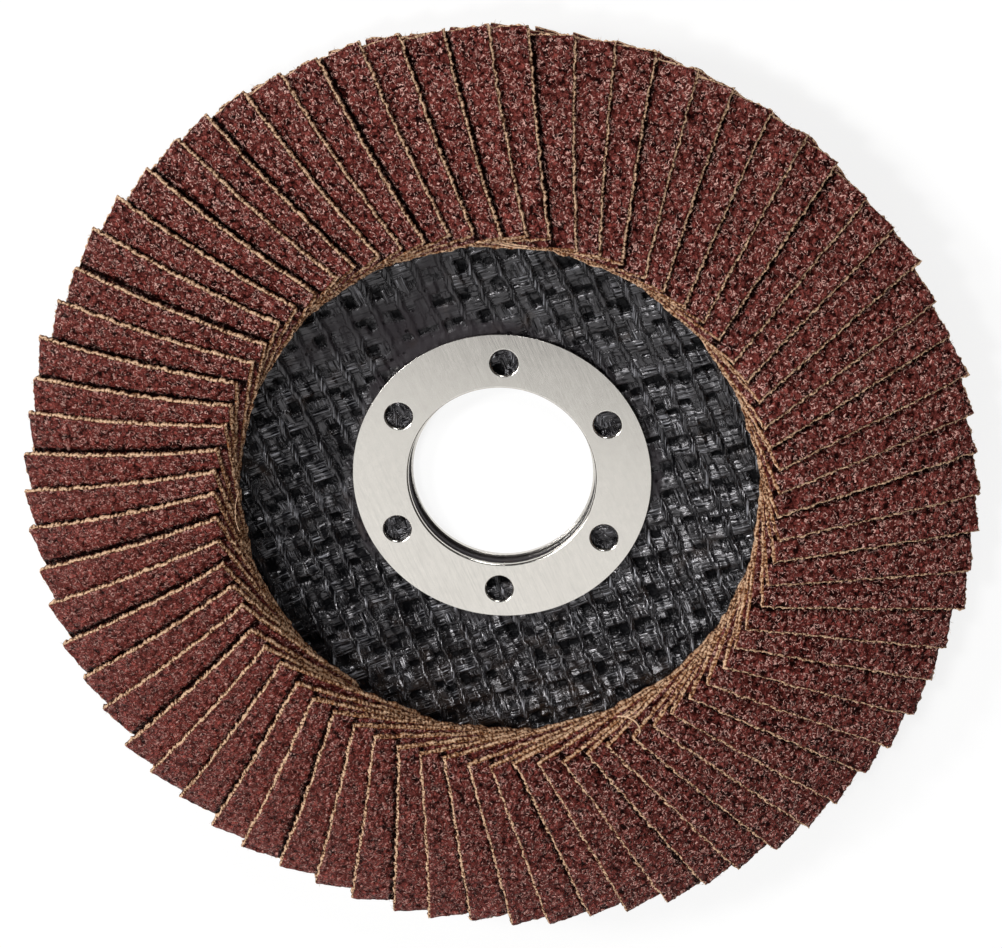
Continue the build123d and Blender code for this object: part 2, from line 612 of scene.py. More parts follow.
@dataclass(frozen=True)
class GlassLaminate(Finish):
    """Black resin over glass strands, glossy where the resin lies thin over the filaments. Its colour
    carries painted shade in pits, hollows and between filaments, and painted glints on some filaments.
    """

    fibre_scale: float = 4300.0
    fibre_stretch: float = 0.06
    speck_scale: float = 1700.0
    pit_scale: float = 850.0
    patch_scale: float = 170.0
    unevenness: float = 0.5
    brown_scale: float = 260.0
    brown_patch_scale: float = 420.0
    brown_from: float = -0.020
    brown_to: float = -0.031
    glint_scale: float = 330.0
    fibre_depth: float = 0.00010
    pit_depth: float = 0.00012
    speck_depth: float = 0.00003
    gloss: float = 0.75
    # Colours in order: painted shade in pits, hollows and between filaments; brown stain; greyer dull
    # resin; pale glass under thin resin, also as painted glints; the reflections' tint, and black where
    # painted shade dims the reflections.
    painted_shade_tone: Colour = (0.0025, 0.0025, 0.003, 1.0)
    brown_tone: Colour = (0.040, 0.022, 0.012, 1.0)
    matte_tone: Colour = (0.024, 0.0185, 0.022, 1.0)
    glass_and_glint_tone: Colour = (0.36, 0.36, 0.39, 1.0)
    shine_tone: Colour = (1.0, 0.97, 1.0, 1.0)
    unlit: Colour = (0.0, 0.0, 0.0, 1.0)

    def masks(self, shader: Shader, place: Socket, resin: Socket) -> LaminateMasks:
        """Work out filaments, specks, pits, dull places and hollows.

        Args:
            shader: Short hand for the material's nodes.
            place: Socket of the coordinates.
            resin: Share of the relief that resin has filled.

        Returns:
            The masks.
        """
        hollow = shader.attribute("hollow")
        pair = shader.add("ShaderNodeCombineXYZ")
        along = shader.math("MULTIPLY", shader.attribute("fibre_along"), self.fibre_stretch)
        shader.feed(pair, X=shader.attribute("fibre_across"), Y=along)
        fibres = shader.noise(pair.outputs["Vector"], self.fibre_scale, 2.0, 0.6)
        specks = shader.noise(place, self.speck_scale, 3.0, 0.6)
        pits = shader.span(shader.cells(place, self.pit_scale), 0.10, 0.24, 1.0, 0.0)
        filled = shader.span(resin, 0.32, 0.6)
        dull = shader.math("MULTIPLY", filled, shader.span(hollow, 0.35, 0.6, 1.0, 0.2))
        return LaminateMasks(fibres, specks, pits, dull, hollow)

    def resin_colour(self, shader: Shader, tone: NodeTree, place: Socket, dull: Socket) -> Socket:
        """Colour of the resin: black, greyer where it is dull, and brown in patches and at one side.

        Args:
            shader: Short hand for the material's nodes.
            tone: The shared uneven tone.
            place: Socket of the coordinates.
            dull: Mask of the dull places.

        Returns:
            The colour's socket.
        """
        colour = self.toned(shader, tone, place, self.patch_scale, self.unevenness)
        colour = shader.blend(shader.math("MULTIPLY", dull, 0.7), colour, self.matte_tone)
        parts = shader.add("ShaderNodeSeparateXYZ")
        shader.feed(parts, Vector=place)
        low = shader.span(parts.outputs["Y"], self.brown_from, self.brown_to, 0.0, 0.35)
        broad = shader.span(shader.noise(place, self.brown_scale, 3.0), 0.56, 0.74, 0.0, 0.5)
        stain = shader.math("ADD", broad, low)
        patch = shader.span(shader.noise(place, self.brown_patch_scale, 2.0), 0.4, 0.6)
        return shader.blend(shader.math("MULTIPLY", stain, patch), colour, self.brown_tone)

    def shadows(self, shader: Shader, masks: LaminateMasks) -> Socket:
        """Painted shade: pits in dull resin, deep hollows and lines between filaments, where little
        light comes out.

        Args:
            shader: Short hand for the material's nodes.
            masks: Values over the laminate.

        Returns:
            Mask that is 1 in the darkest places.
        """
        shade = shader.math("MULTIPLY", shader.math("MULTIPLY", masks.pits, masks.dull), 0.8)
        ragged = shader.math("MULTIPLY", shader.math("SUBTRACT", masks.specks, 0.5), 0.9)
        deep = shader.math("ADD", masks.hollow, ragged)
        shade = shader.math("MAXIMUM", shade, shader.span(deep, 0.5, 0.95, 0.0, 0.92))
        lines = shader.span(masks.fibres, 0.38, 0.47, 0.85, 0.0)
        lines = shader.math("MULTIPLY", lines, shader.span(masks.dull, 0.2, 0.8, 1.0, 0.1))
        return shader.math("MAXIMUM", shade, lines)

    def glints(self, shader: Shader, place: Socket, masks: LaminateMasks) -> Socket:
        """Pale filaments, in patches, where the resin is neither dull nor deep: glass under thin resin,
        and painted glints; none in hollows, where shade falls.

        Args:
            shader: Short hand for the material's nodes.
            place: Socket of the coordinates.
            masks: Values over the laminate.

        Returns:
            Mask that is 1 on the brightest filaments.
        """
        bright = shader.span(masks.fibres, 0.53, 0.66)
        bright = shader.math("MULTIPLY", bright, shader.span(masks.dull, 0.0, 0.6, 1.0, 0.0))
        patches = shader.span(shader.noise(place, self.glint_scale, 2.0), 0.44, 0.60)
        bright = shader.math("MULTIPLY", bright, patches)
        return shader.math("MULTIPLY", bright, shader.span(masks.hollow, 0.2, 0.6, 1.0, 0.0))

    def relief(self, shader: Shader, resin: Socket, masks: LaminateMasks) -> Socket:
        """Fine relief: ribs of the filaments, pits in dull resin, then specks.

        Args:
            shader: Short hand for the material's nodes.
            resin: Share of the relief that resin has filled.
            masks: Values over the laminate.

        Returns:
            The normal's socket.
        """
        ribs = shader.math("MULTIPLY", masks.fibres, shader.span(resin, 0.0, 0.9, 1.0, 0.15))
        ribbed = shader.bump(ribs, self.fibre_depth, 1.0)
        pocks = shader.math("MULTIPLY", masks.pits, masks.dull)
        pocked = shader.bump(pocks, -self.pit_depth, 0.8, ribbed)
        return shader.bump(masks.specks, self.speck_depth, 0.5, pocked)

    def build(self, tone: NodeTree) -> Material:
        """Build the material.

        The mesh carries fibre_across, a length across its filaments, fibre_along, a length along them,
        resin, the share of the relief that resin has filled, and hollow, from 0 on the strands to 1 in
        the deepest gaps.

        Args:
            tone: The shared uneven tone.

        Returns:
            The material.
        """
        material, shader, body = new_material(self.name)
        place = shader.place()
        resin = shader.attribute("resin")
        masks = self.masks(shader, place, resin)
        colour = self.resin_colour(shader, tone, place, masks.dull)
        shade = self.shadows(shader, masks)
        bright = self.glints(shader, place, masks)
        # Painted glints and pale glass on the bright filaments.
        colour = shader.blend(shader.math("MULTIPLY", bright, 0.75), colour, self.glass_and_glint_tone)
        # Painted shade in pits, hollows and between filaments.
        shader.feed(body, Base_Color=shader.blend(shade, colour, self.painted_shade_tone))
        matte = shader.span(masks.specks, 0.4, 0.62, self.roughness - 0.05, self.roughness + 0.12)
        rough = shader.math("ADD", matte, shader.math("MULTIPLY", masks.dull, 0.22))
        shader.feed(body, Roughness=rough)
        shader.feed(body, Normal=self.relief(shader, resin, masks), Specular_IOR_Level=self.gloss)
        # The reflections' tint goes to black in the painted shade: painted shade on the gloss too.
        open_to_light = shader.span(shade, 0.0, 0.8, 1.0, 0.04)
        glossy = shader.span(masks.dull, 0.0, 1.0, 1.0, 0.35)
        gleam = shader.math("MULTIPLY", open_to_light, glossy)
        shader.feed(body, Specular_Tint=shader.blend(gleam, self.unlit, self.shine_tone))
        return material


@dataclass(frozen=True)
class CuredGlue(Finish):
    """Dull brown resin that squeezes out between plate and flaps."""

    patch_scale: float = 300.0
    unevenness: float = 0.7
    lump_scale: float = 900.0
    lump_depth: float = 0.0003

    def build(self, tone: NodeTree) -> Material:
        """Build the material.

        Args:
            tone: The shared uneven tone.

        Returns:
            The material.
        """
        material, shader, body = new_material(self.name)
        place = shader.place()
        colour = self.toned(shader, tone, place, self.patch_scale, self.unevenness)
        shader.feed(body, Base_Color=colour, Roughness=self.roughness)
        lumps = shader.noise(place, self.lump_scale, 4.0)
        shader.feed(body, Normal=shader.bump(lumps, self.lump_depth, 0.6))
        return material


@dataclass(frozen=True)
class GritCoat(Finish):
    """Abrasive grains drowned in glossy red-brown resin; the colour carries painted shade in crevices
    and painted light and highlights on the grains.
    """

    # Colours below: painted shade in crevices, the main resin colour, painted light on grain tops,
    # painted highlights on grain rims, and the reflections' tint, dimmed in crevices as painted shade.
    crevice_shade: Colour = (0.006, 0.0012, 0.001, 1.0)
    top: Colour = (0.36, 0.072, 0.055, 1.0)
    rim: Colour = (0.86, 0.50, 0.43, 1.0)
    dim: Colour = (0.03, 0.01, 0.01, 1.0)
    shine: Colour = (1.0, 0.86, 0.82, 1.0)
    grain_scale: float = 1900.0
    fine_scale: float = 5200.0
    patch_scale: float = 420.0
    warp_scale: float = 1500.0
    warp: float = 0.0009
    grain_depth: float = 0.00040
    fine_depth: float = 0.00018
    # Towards the lower left of the disc the painted shade is lighter and the painted highlights are
    # fewer.
    lower_left_way: Place = (-0.8, -0.6, 0.0)
    lower_left_shade_lift: float = 0.08
    lower_left_glint_loss: float = 0.4
    arc_sets: tuple[tuple[float, float], ...] = ((1150.0, 2100.0), (1650.0, 2700.0))

    def warped(self, shader: Shader, flat: Socket) -> Socket:
        """Flat places moved about by noise, so that the grains aren't round.

        Args:
            shader: Short hand for the material's nodes.
            flat: Socket of the flat coordinates.

        Returns:
            Socket of the moved coordinates.
        """
        wobble = shader.add("ShaderNodeTexNoise")
        shader.feed(wobble, Vector=flat, Scale=self.warp_scale, Detail=2.0)
        offset = shader.add("ShaderNodeVectorMath", operation="SCALE")
        shader.feed(offset, Vector=wobble.outputs["Color"], Scale=self.warp)
        return shader.join(flat, offset.outputs["Vector"]).outputs["Vector"]

    def lower_left_share(self, shader: Shader) -> Socket:
        """Share, from 0 to 1 towards the lower left of the disc, where the painted shade is lighter and
        the painted highlights are fewer.

        Args:
            shader: Short hand for the material's nodes.

        Returns:
            The share's socket.
        """
        away = shader.add("ShaderNodeVectorMath", operation="DOT_PRODUCT")
        shader.plug(away.inputs[0], shader.place())
        shader.plug(away.inputs[1], self.lower_left_way)
        return shader.span(away.outputs["Value"], 0.01, 0.05)

    def arcs(self, shader: Shader, place: Socket, scale: float, gate: float) -> Socket:
        """Painted highlights on parts of the rims of round grains: thin rings about scattered middles,
        cut up by noise.

        Args:
            shader: Short hand for the material's nodes.
            place: Socket of the coordinates.
            scale: Scale of the grains.
            gate: Scale of the noise that cuts the rings up.

        Returns:
            Mask that is 1 on the arcs.
        """
        distance = shader.cells(place, scale)
        inside = shader.span(distance, 0.27, 0.34)
        outside = shader.span(distance, 0.38, 0.45, 1.0, 0.0)
        kept = shader.span(shader.noise(place, gate, 1.0), 0.47, 0.58)
        return shader.math("MULTIPLY", shader.math("MULTIPLY", inside, outside), kept)

    def painted_rim_highlights(
        self, shader: Shader, place: Socket, fine: Socket, relief: Socket, lower_left: Socket
    ) -> Socket:
        """Painted highlights on the rims of grains: both sets of arcs, weaker in hollows, where shade
        falls, and towards the lower left.

        Args:
            shader: Short hand for the material's nodes.
            place: Socket of the moved coordinates.
            fine: Fine grain.
            relief: Height of the grains in the mesh, low in the groove under the flap above.
            lower_left: Share towards the lower left.

        Returns:
            Mask that is 1 on the rims.
        """
        arc = shader.math("MAXIMUM", *[
            self.arcs(shader, place, scale, gate) for scale, gate in self.arc_sets
        ])
        arc = shader.math("MULTIPLY", arc, shader.span(fine, 0.36, 0.5, 0.15, 1.0))
        arc = shader.math("MULTIPLY", arc, shader.span(relief, -0.5, 0.1, 0.0, 0.85))
        left = shader.math("SUBTRACT", 1.0, shader.math("MULTIPLY", lower_left, self.lower_left_glint_loss))
        return shader.math("MULTIPLY", arc, left)

    def build(self) -> Material:
        """Build the material.

        The UV map holds the flap's own flat coordinates in metres, moved apart from flap to flap, so
        the grains lie in the cloth. The attribute relief is the height of the grain in the mesh, less a
        groove under the free edge of the flap above. Low places take a painted shade and the tops of the
        grains a painted light, mixed with random tone.

        Returns:
            The material.
        """
        material, shader, body = new_material(self.name)
        flat = shader.flat()
        relief = shader.attribute("relief")
        bent = self.warped(shader, flat)
        lump = shader.span(shader.cells(bent, self.grain_scale), 0.08, 0.62, 1.0, 0.0)
        fine = shader.noise(flat, self.fine_scale, 3.0, 0.65)
        broad = shader.noise(flat, self.patch_scale, 3.0, 0.5)
        lumps = shader.math("MULTIPLY", lump, 0.42)
        level = shader.math("ADD", lumps, shader.math("MULTIPLY", relief, 0.45))
        level = shader.math("ADD", level, shader.math("MULTIPLY", fine, 0.55))
        # Towards the lower left the level rises, so the painted shade there is lighter.
        lower_left = self.lower_left_share(shader)
        level = shader.math("ADD", level, shader.math("MULTIPLY", lower_left, self.lower_left_shade_lift))
        # Painted shade, darkest where grains and relief are low, in crevices and in the groove; painted
        # light on the highest grains.
        shaded = shader.blend(shader.span(level, 0.40, 0.66), self.crevice_shade, self.colour)
        shaded = shader.blend(shader.span(level, 0.68, 1.0), shaded, self.top)
        # Painted highlights on the rims of the grains.
        rims = self.painted_rim_highlights(shader, bent, fine, relief, lower_left)
        shaded = shader.blend(rims, shaded, self.rim)
        patches = shader.span(broad, 0.3, 0.7, 0.82, 1.2)
        shader.feed(body, Base_Color=shader.blend(1.0, shaded, patches, "MULTIPLY"))
        rough = shader.span(fine, 0.3, 0.7, self.roughness - 0.08, self.roughness + 0.14)
        shader.feed(body, Roughness=rough)
        rounded = shader.bump(lump, self.grain_depth, 1.0)
        grained = shader.bump(fine, self.fine_depth, 0.8, rounded)
        shader.feed(body, Normal=grained, Specular_IOR_Level=0.5)
        # The reflections' tint dims in low places: painted shade on the gloss.
        gleam = shader.span(level, 0.5, 0.95, 0.0, 1.0)
        shader.feed(body, Specular_Tint=shader.blend(gleam, self.dim, self.shine))
        return material


@dataclass(frozen=True)
class ClothEdge(Finish):
    """Cut edge and back of the cloth: cream cotton threads stained by brown resin, with painted shade in
    the gaps between threads.
    """

    stain: Colour = (0.36, 0.135, 0.045, 1.0)
    gap: Colour = (0.060, 0.018, 0.008, 1.0)
    thread_pitch: float = 0.00052
    wander_scale: float = 1100.0
    wander: float = 15.0
    clump_scale: float = 2200.0
    fuzz_scale: float = 9000.0
    thread_depth: float = 0.0002
    fuzz_depth: float = 0.0001
    gloss: float = 0.15

    def threads(self, shader: Shader, flat: Socket) -> Socket:
        """Ends of the threads: a wave along each direction of the cloth, moved about by noise.

        Args:
            shader: Short hand for the material's nodes.
            flat: Socket of the flat coordinates.

        Returns:
            Socket of the waves' sum, from -0.5 between threads to 0.5 on them.
        """
        uneven = shader.math("MULTIPLY", shader.noise(flat, self.wander_scale, 3.0), self.wander)
        parts = shader.add("ShaderNodeSeparateXYZ")
        shader.feed(parts, Vector=flat)
        turns = 2 * math.pi / self.thread_pitch
        waves = []
        for axis in ("X", "Y"):
            phase = shader.math("ADD", shader.math("MULTIPLY", parts.outputs[axis], turns), uneven)
            waves.append(shader.math("SINE", phase))
        return shader.math("MULTIPLY", shader.math("ADD", *waves), 0.25)

    def build(self) -> Material:
        """Build the material.

        The UV map holds flat places on the cloth, and the attribute bleach is high where the cloth is
        pale: unstained cotton, and painted light at the top of a cut edge.

        Returns:
            The material.
        """
        material, shader, body = new_material(self.name)
        flat = shader.flat()
        place = shader.place()
        bareness_and_light = shader.attribute("bareness_and_light")
        threads = self.threads(shader, flat)
        clumps = shader.noise(place, self.clump_scale, 3.0, 0.65)
        fuzz = shader.noise(place, self.fuzz_scale, 2.0, 0.6)
        # Cream where the cloth is pale: unstained cotton, and painted light at the top of a cut edge.
        bare = shader.math("ADD", shader.span(clumps, 0.32, 0.68, -0.75, 0.55), bareness_and_light)
        bare = shader.math("ADD", bare, threads, True)
        colour = shader.blend(bare, self.stain, self.colour)
        # Painted shade in the gaps between threads, less where the cloth is pale.
        between = shader.math("ADD", threads, shader.span(clumps, 0.3, 0.7, -0.45, 0.45))
        between = shader.math("ADD", between, shader.span(bareness_and_light, 0.7, 1.3, 0.0, 0.28))
        colour = shader.blend(shader.span(between, -0.40, 0.0, 0.92, 0.0), colour, self.gap)
        downy = shader.span(fuzz, 0.3, 0.7, 0.6, 1.15)
        shader.feed(body, Base_Color=shader.blend(1.0, colour, downy, "MULTIPLY"))
        shader.feed(body, Roughness=self.roughness, Specular_IOR_Level=self.gloss)
        braided = shader.bump(shader.math("ADD", between, 0.5), self.thread_depth, 0.8)
        shader.feed(body, Normal=shader.bump(fuzz, self.fuzz_depth, 0.8, braided))
        return material


# ---------------------------------------------------------------- hub rings


@dataclass
class HubRings:
    """The two steel rings, in millimetres: a flat washer with six holes, and a collar at the rear."""

    sleeve: float = 11.5
    outer: float = 18.34
    low: float = 2.4
    high: float = 3.0
    hole: float = 1.65
    hole_circle: float = 14.75
    hole_phase: float = math.radians(28.9)
    holes: int = 6
    rolled: float = 0.25
    broken_edge: float = 0.02
    hole_edge: float = 0.2
    bore: float = 11.115
    sleeve_top: float = 0.82
    flange_top: float = 0.6
    arc_steps: int = 28
    side_steps: int = 8
    corner_points: int = 5
    flat_shares: tuple[float, ...] = (0.04, 0.15, 0.4, 0.7, 0.92, 0.985, 1.0)
    under_shares: tuple[float, ...] = (1.0, 0.5, 0.0)
    level_normal: float = 0.9999
    spokes: int = 288

    def build(self, steel: Material) -> list[Piece]:
        """Build both rings.

        Args:
            steel: Finish of both.

        Returns:
            The front ring and the rear collar.
        """
        return [self.washer(steel), self.collar(steel)]

    def corner(self, radius: float, height: float, size: float, out: int, up: int) -> np.ndarray:
        """Quarter circle that rounds one corner of a section, from its level side to its upright side.

        Args:
            radius: Radius of the sharp corner.
            height: Height of the sharp corner.
            size: Radius of the rounding.
            out: 1 where the material lies inside the corner, -1 where it lies outside.
            up: 1 at the top of the material, -1 at the bottom.

        Returns:
            Points of the section as pairs of radius and height.
        """
        turn = np.linspace(0, math.pi / 2, self.corner_points)
        level = radius - out * size * (1 - np.sin(turn))
        return np.stack([level, height - up * size * (1 - np.cos(turn))], axis=-1)

    def outline(self) -> np.ndarray:
        """Outline of one sixth of the washer's flat face, with the hole in the middle of it.

        Returns:
            Points round the sector, anticlockwise from its inner corner, as plan coordinates.
        """
        half = math.pi / self.holes
        inner, outer = self.sleeve + self.rolled, self.outer - self.broken_edge
        sweep = np.linspace(-half, half, self.arc_steps + 1)
        rise = np.linspace(inner, outer, self.side_steps + 1)
        radii = np.concatenate([
            rise[:-1], np.full(self.arc_steps, outer), rise[:0:-1], np.full(self.arc_steps, inner),
        ])
        angles = np.concatenate([
            np.full(self.side_steps, -half), sweep[:-1], np.full(self.side_steps, half), sweep[:0:-1],
        ])
        return np.stack([radii * np.cos(angles), radii * np.sin(angles)], axis=-1)

    def sector(self) -> list[tuple[np.ndarray, np.ndarray]]:
        """Grids of one sixth of the washer: its top with the hole's wall, and its underside.

        Each ring of points lies on the rays from the hole's middle to the outline. The top's rings
        go up the wall, round its edge and out to the outline, and the underside's go back in.

        Returns:
            For each grid, its rings as plan coordinates and the height of each ring.
        """
        middle = np.array([self.hole_circle, 0.0])
        ray = self.outline() - middle
        reach = np.linalg.norm(ray, axis=-1, keepdims=True)
        way = ray / reach
        wall = self.corner(self.hole, self.high, self.hole_edge, -1, 1)[::-1]
        start = self.hole + self.hole_edge
        top = [middle + way * radius for radius in (self.hole, *wall[:, 0])]
        top += [middle + way * (start + (reach - start) * share) for share in self.flat_shares]
        heights = np.array([self.low, *wall[:, 1], *[self.high] * len(self.flat_shares)])
        under = [middle + way * (self.hole + (reach - self.hole) * share) for share in self.under_shares]
        return [(np.stack(top), heights), (np.stack(under), np.full(len(under), self.low))]

    def walls(self) -> tuple[np.ndarray, np.ndarray]:
        """Sections of the washer's outer wall, from the top down, and its bore's wall, from below up.

        Returns:
            Both sections, as pairs of radius and height.
        """
        outer = np.concatenate([
            self.corner(self.outer, self.high, self.broken_edge, 1, 1),
            [(self.outer, self.low), (self.outer - self.broken_edge, self.low)],
        ])
        inner = np.concatenate([
            [(self.sleeve + self.rolled, self.low), (self.sleeve, self.low)],
            self.corner(self.sleeve, self.high, self.rolled, -1, 1)[::-1],
        ])
        return outer, inner

    def washer(self, steel: Material) -> Piece:
        """Front ring: six equal sectors turned about the axis, and two walls of revolution.

        The walls' spokes end on the points of the sectors' outlines, and equal points are merged.
        The level faces are shaded flat and the walls smooth.

        Args:
            steel: Its finish.

        Returns:
            The new piece.
        """
        points, faces, total = [], [], 0
        for number in range(self.holes):
            turn = self.hole_phase + number * 2 * math.pi / self.holes
            spin = np.array([[math.cos(turn), -math.sin(turn)], [math.sin(turn), math.cos(turn)]])
            for plan, level in self.sector():
                turned = plan @ spin.T
                lift = np.broadcast_to(level[:, None, None], (*turned.shape[:2], 1))
                points.append(np.concatenate([turned, lift], axis=-1).reshape(-1, 3))
                faces.append(total + grid_quads(*turned.shape[:2], closed_columns=True)[:, ::-1])
                total += turned.shape[0] * turned.shape[1]
        spokes = self.holes * self.arc_steps
        first = self.hole_phase + math.pi / self.holes
        for section in self.walls():
            points.append(revolved(section, spokes, first))
            faces.append(total + grid_quads(len(section), spokes, closed_columns=True)[:, ::-1])
            total += len(section) * spokes
        merged, quads = merge_points(np.concatenate(points), np.concatenate(faces))
        piece = add_piece("front_ring", merged * MM, quads, [steel], Node.FRONT_RING.value)
        upright = np.empty(3 * len(quads), dtype=np.float32)
        piece.data.polygons.foreach_get("normal", upright)
        piece.data.polygons.foreach_set("use_smooth", np.abs(upright[2::3]) < self.level_normal)
        return piece

    def collar(self, steel: Material) -> Piece:
        """Rear ring: a flange and a short sleeve, as one closed surface of revolution.

        Args:
            steel: Its finish.

        Returns:
            The new piece.
        """
        small = self.broken_edge
        section = np.concatenate([
            self.corner(self.sleeve, self.sleeve_top, small, 1, 1),
            [(self.sleeve, self.flange_top)],
            self.corner(self.outer, self.flange_top, small, 1, 1),
            self.corner(self.outer, 0.0, small, 1, -1)[::-1],
            self.corner(self.bore, 0.0, self.hole_edge, -1, -1),
            self.corner(self.bore, self.sleeve_top, small, -1, 1)[::-1],
        ])
        points = revolved(section, self.spokes, 0.0)
        quads = grid_quads(len(section), self.spokes, closed_rows=True, closed_columns=True)
        faces = quads[:, ::-1].tolist()
        return add_piece("rear_collar", points * MM, faces, [steel], Node.REAR_COLLAR.value)


# ---------------------------------------------------------------- backing plate


@dataclass(frozen=True)
class Strands:
    """One family of parallel strands of the glass mesh, in millimetres.

    Swell is the greatest share by which the width changes, foot the height of the strand's sides, and
    crown the rise of its middle above them.
    """

    angle: float
    pitch: float
    phase: float
    width: float
    swell: float
    foot: float
    crown: float
    seed: int
    wander: float = 0.18
    wander_squeeze: float = 0.3
    wander_length: float = 6.0
    swell_length: float = 2.2

    def locate(self, places: np.ndarray) -> tuple[np.ndarray, np.ndarray, np.ndarray]:
        """Coordinates of points among the strands, which wander a little to each side.

        Args:
            places: Plan points.

        Returns:
            Distance from the nearest strand's centre line, number of that strand, and length along it.
        """
        across = -places[..., 0] * math.sin(self.angle) + places[..., 1] * math.cos(self.angle)
        along = places[..., 0] * math.cos(self.angle) + places[..., 1] * math.sin(self.angle)
        spots = np.stack([across * self.wander_squeeze, along], axis=-1)
        wander = self.wander * value_noise(spots, self.wander_length, int(100 * self.pitch))
        shifted = (across + wander) / self.pitch - self.phase
        number = np.round(shifted)
        return (shifted - number) * self.pitch, number.astype(np.int64), along

    def half_width(self, number: np.ndarray, along: np.ndarray) -> np.ndarray:
        """Half of the strand's width, which swells and shrinks at random along it.

        Args:
            number: Numbers of the strands.
            along: Lengths along them.

        Returns:
            Half widths.
        """
        apart = np.stack([number * 9.0, along], axis=-1)
        swell = value_noise(apart, self.swell_length, self.seed)
        return 0.5 * self.width * (1 + self.swell * swell)


@dataclass
class GlassPlate:
    """The pressed plate, with the relief of the glass mesh over its whole front, in millimetres."""

    bore: float = 11.5
    ring_edge: float = 18.0
    floor_edge: float = 19.8
    crown: float = 33.2
    rim: float = 54.5
    floor: float = 2.4
    rise: float = 2.9
    fall: float = 1.9
    thickness: float = 1.8
    edge: float = 0.15
    cords: Strands = Strands(
        math.radians(113.0), 3.26, phase=-0.2, width=1.02, swell=0.16, foot=-0.26, crown=0.38, seed=11
    )
    bands: Strands = Strands(
        math.radians(19.5), 3.65, phase=0.0, width=2.0, swell=0.22, foot=-0.34, crown=0.28, seed=12
    )
    cord_swing: float = 0.09
    cord_pinch: float = 0.14
    cord_wave: float = 0.06
    twist_depth: float = 0.05
    twist_width: float = 0.62
    twist_length: float = 1.9
    filament_slant: float = 0.45
    band_lean: float = 0.38
    band_dish: float = 0.05
    depth: float = 0.5
    pad_share: float = 0.45
    pad_spread: float = 0.4
    pad_tilt: float = 0.4
    crosswise_share: float = 0.3
    absent: float = -9.0
    pool_centre: tuple[float, float] = (-11.0, 18.0)
    pool_size: tuple[float, float] = (15.0, 13.0)
    pool_resin: float = 0.55
    patch_resin: float = 0.38
    ring_resin: float = 0.34
    least_resin: float = 0.02
    most_resin: float = 0.92
    ring_resin_outside: float = 20.6
    ring_resin_inside: float = 17.2
    smooth_radius: float = 12.8
    resin_sink: float = 0.06
    ripple: float = 0.03
    highest: float = 0.2
    ring_gap: float = 0.02
    hub_step: float = 0.45
    shown_step: float = 0.2
    bed_rows: int = 7
    rear_rows: int = 14
    spokes: int = 720

    def height(self, radius: np.ndarray) -> np.ndarray:
        """Height of the front surface at a radius: flat hub, straight dish wall, cone to the rim.

        Args:
            radius: Radii in millimetres.

        Returns:
            Heights in millimetres.
        """
        wall = self.crown - self.floor_edge
        climb = (np.clip(radius, self.floor_edge, self.crown) - self.floor_edge) / wall
        down = np.clip(radius - self.crown, 0, None) / (self.rim - self.crown)
        return self.floor + self.rise * climb - self.fall * down

    def mesh_relief(self, places: np.ndarray) -> tuple[np.ndarray, np.ndarray, np.ndarray]:
        """Relief of the bare glass mesh, and where its filaments run.

        Cords are pairs of twisted threads that swing from side to side as they cross the bands. Bands
        are flat strands with rounded sides, each stretch between two cords tilted at random. Each gap
        holds a pad of filaments of the mesh below, tilted at random too. The highest of the three
        shows.

        Args:
            places: Plan points in millimetres.

        Returns:
            Height, length across the filaments and length along them for the points.
        """
        cord_off, cord_no, cord_along = self.cords.locate(places)
        band_off, band_no, band_along = self.bands.locate(places)
        beat = 2 * math.pi * band_off / self.bands.pitch
        swung = cord_off - self.cord_swing * np.sin(beat + cord_no % 2 * math.pi)
        pinch = 1 - self.cord_pinch + self.cord_pinch * np.cos(beat)
        cord_half = self.cords.half_width(cord_no, cord_along) * pinch
        band_half = self.bands.half_width(band_no, band_along)
        cord = np.sqrt(np.clip(1 - (swung / cord_half) ** 2, 0, 1))
        turns = swung / self.twist_width + cord_along / self.twist_length
        twist = self.twist_depth * np.cos(2 * math.pi * turns)
        band = np.sqrt(np.clip(1 - (band_off / band_half) ** 4, 0, 1))
        cell = np.stack([cord_no * 2 + (cord_off > 0), band_no], axis=-1)
        lean = self.band_lean * (scatter(cell, 25) - 0.5) * cord_off
        lean = lean + self.band_lean * (scatter(cell, 26) - 0.5) * band_off
        dish = self.band_dish * np.cos(2 * math.pi * cord_off / self.cords.pitch)
        gap = np.stack([cord_no * 2 + (cord_off > 0), band_no * 2 + (band_off > 0)], axis=-1)
        tilt = (scatter(gap, 21) - 0.5) * cord_off + (scatter(gap, 22) - 0.5) * band_off
        sunk = -self.depth * (self.pad_share + self.pad_spread * scatter(gap, 23))
        pad = sunk + self.pad_tilt * tilt
        over = self.cords.foot + self.cords.crown * cord + twist * cord
        cord_height = np.where(cord > 0, over + self.cord_wave * np.cos(beat), self.absent)
        flat = self.bands.foot + self.bands.crown * band + lean * band - dish * band
        band_height = np.where(band > 0, flat, self.absent)
        height = np.maximum(np.maximum(cord_height, band_height), pad)
        on_cord = cord_height >= np.maximum(band_height, pad)
        in_gap = ~on_cord & (pad > band_height)
        lengthwise = on_cord | (in_gap & (scatter(gap, 24) > self.crosswise_share))
        slanted = cord_off + self.filament_slant * cord_along * on_cord
        across = np.where(lengthwise, slanted, band_off)
        return height, across, np.where(lengthwise, cord_along, band_along)

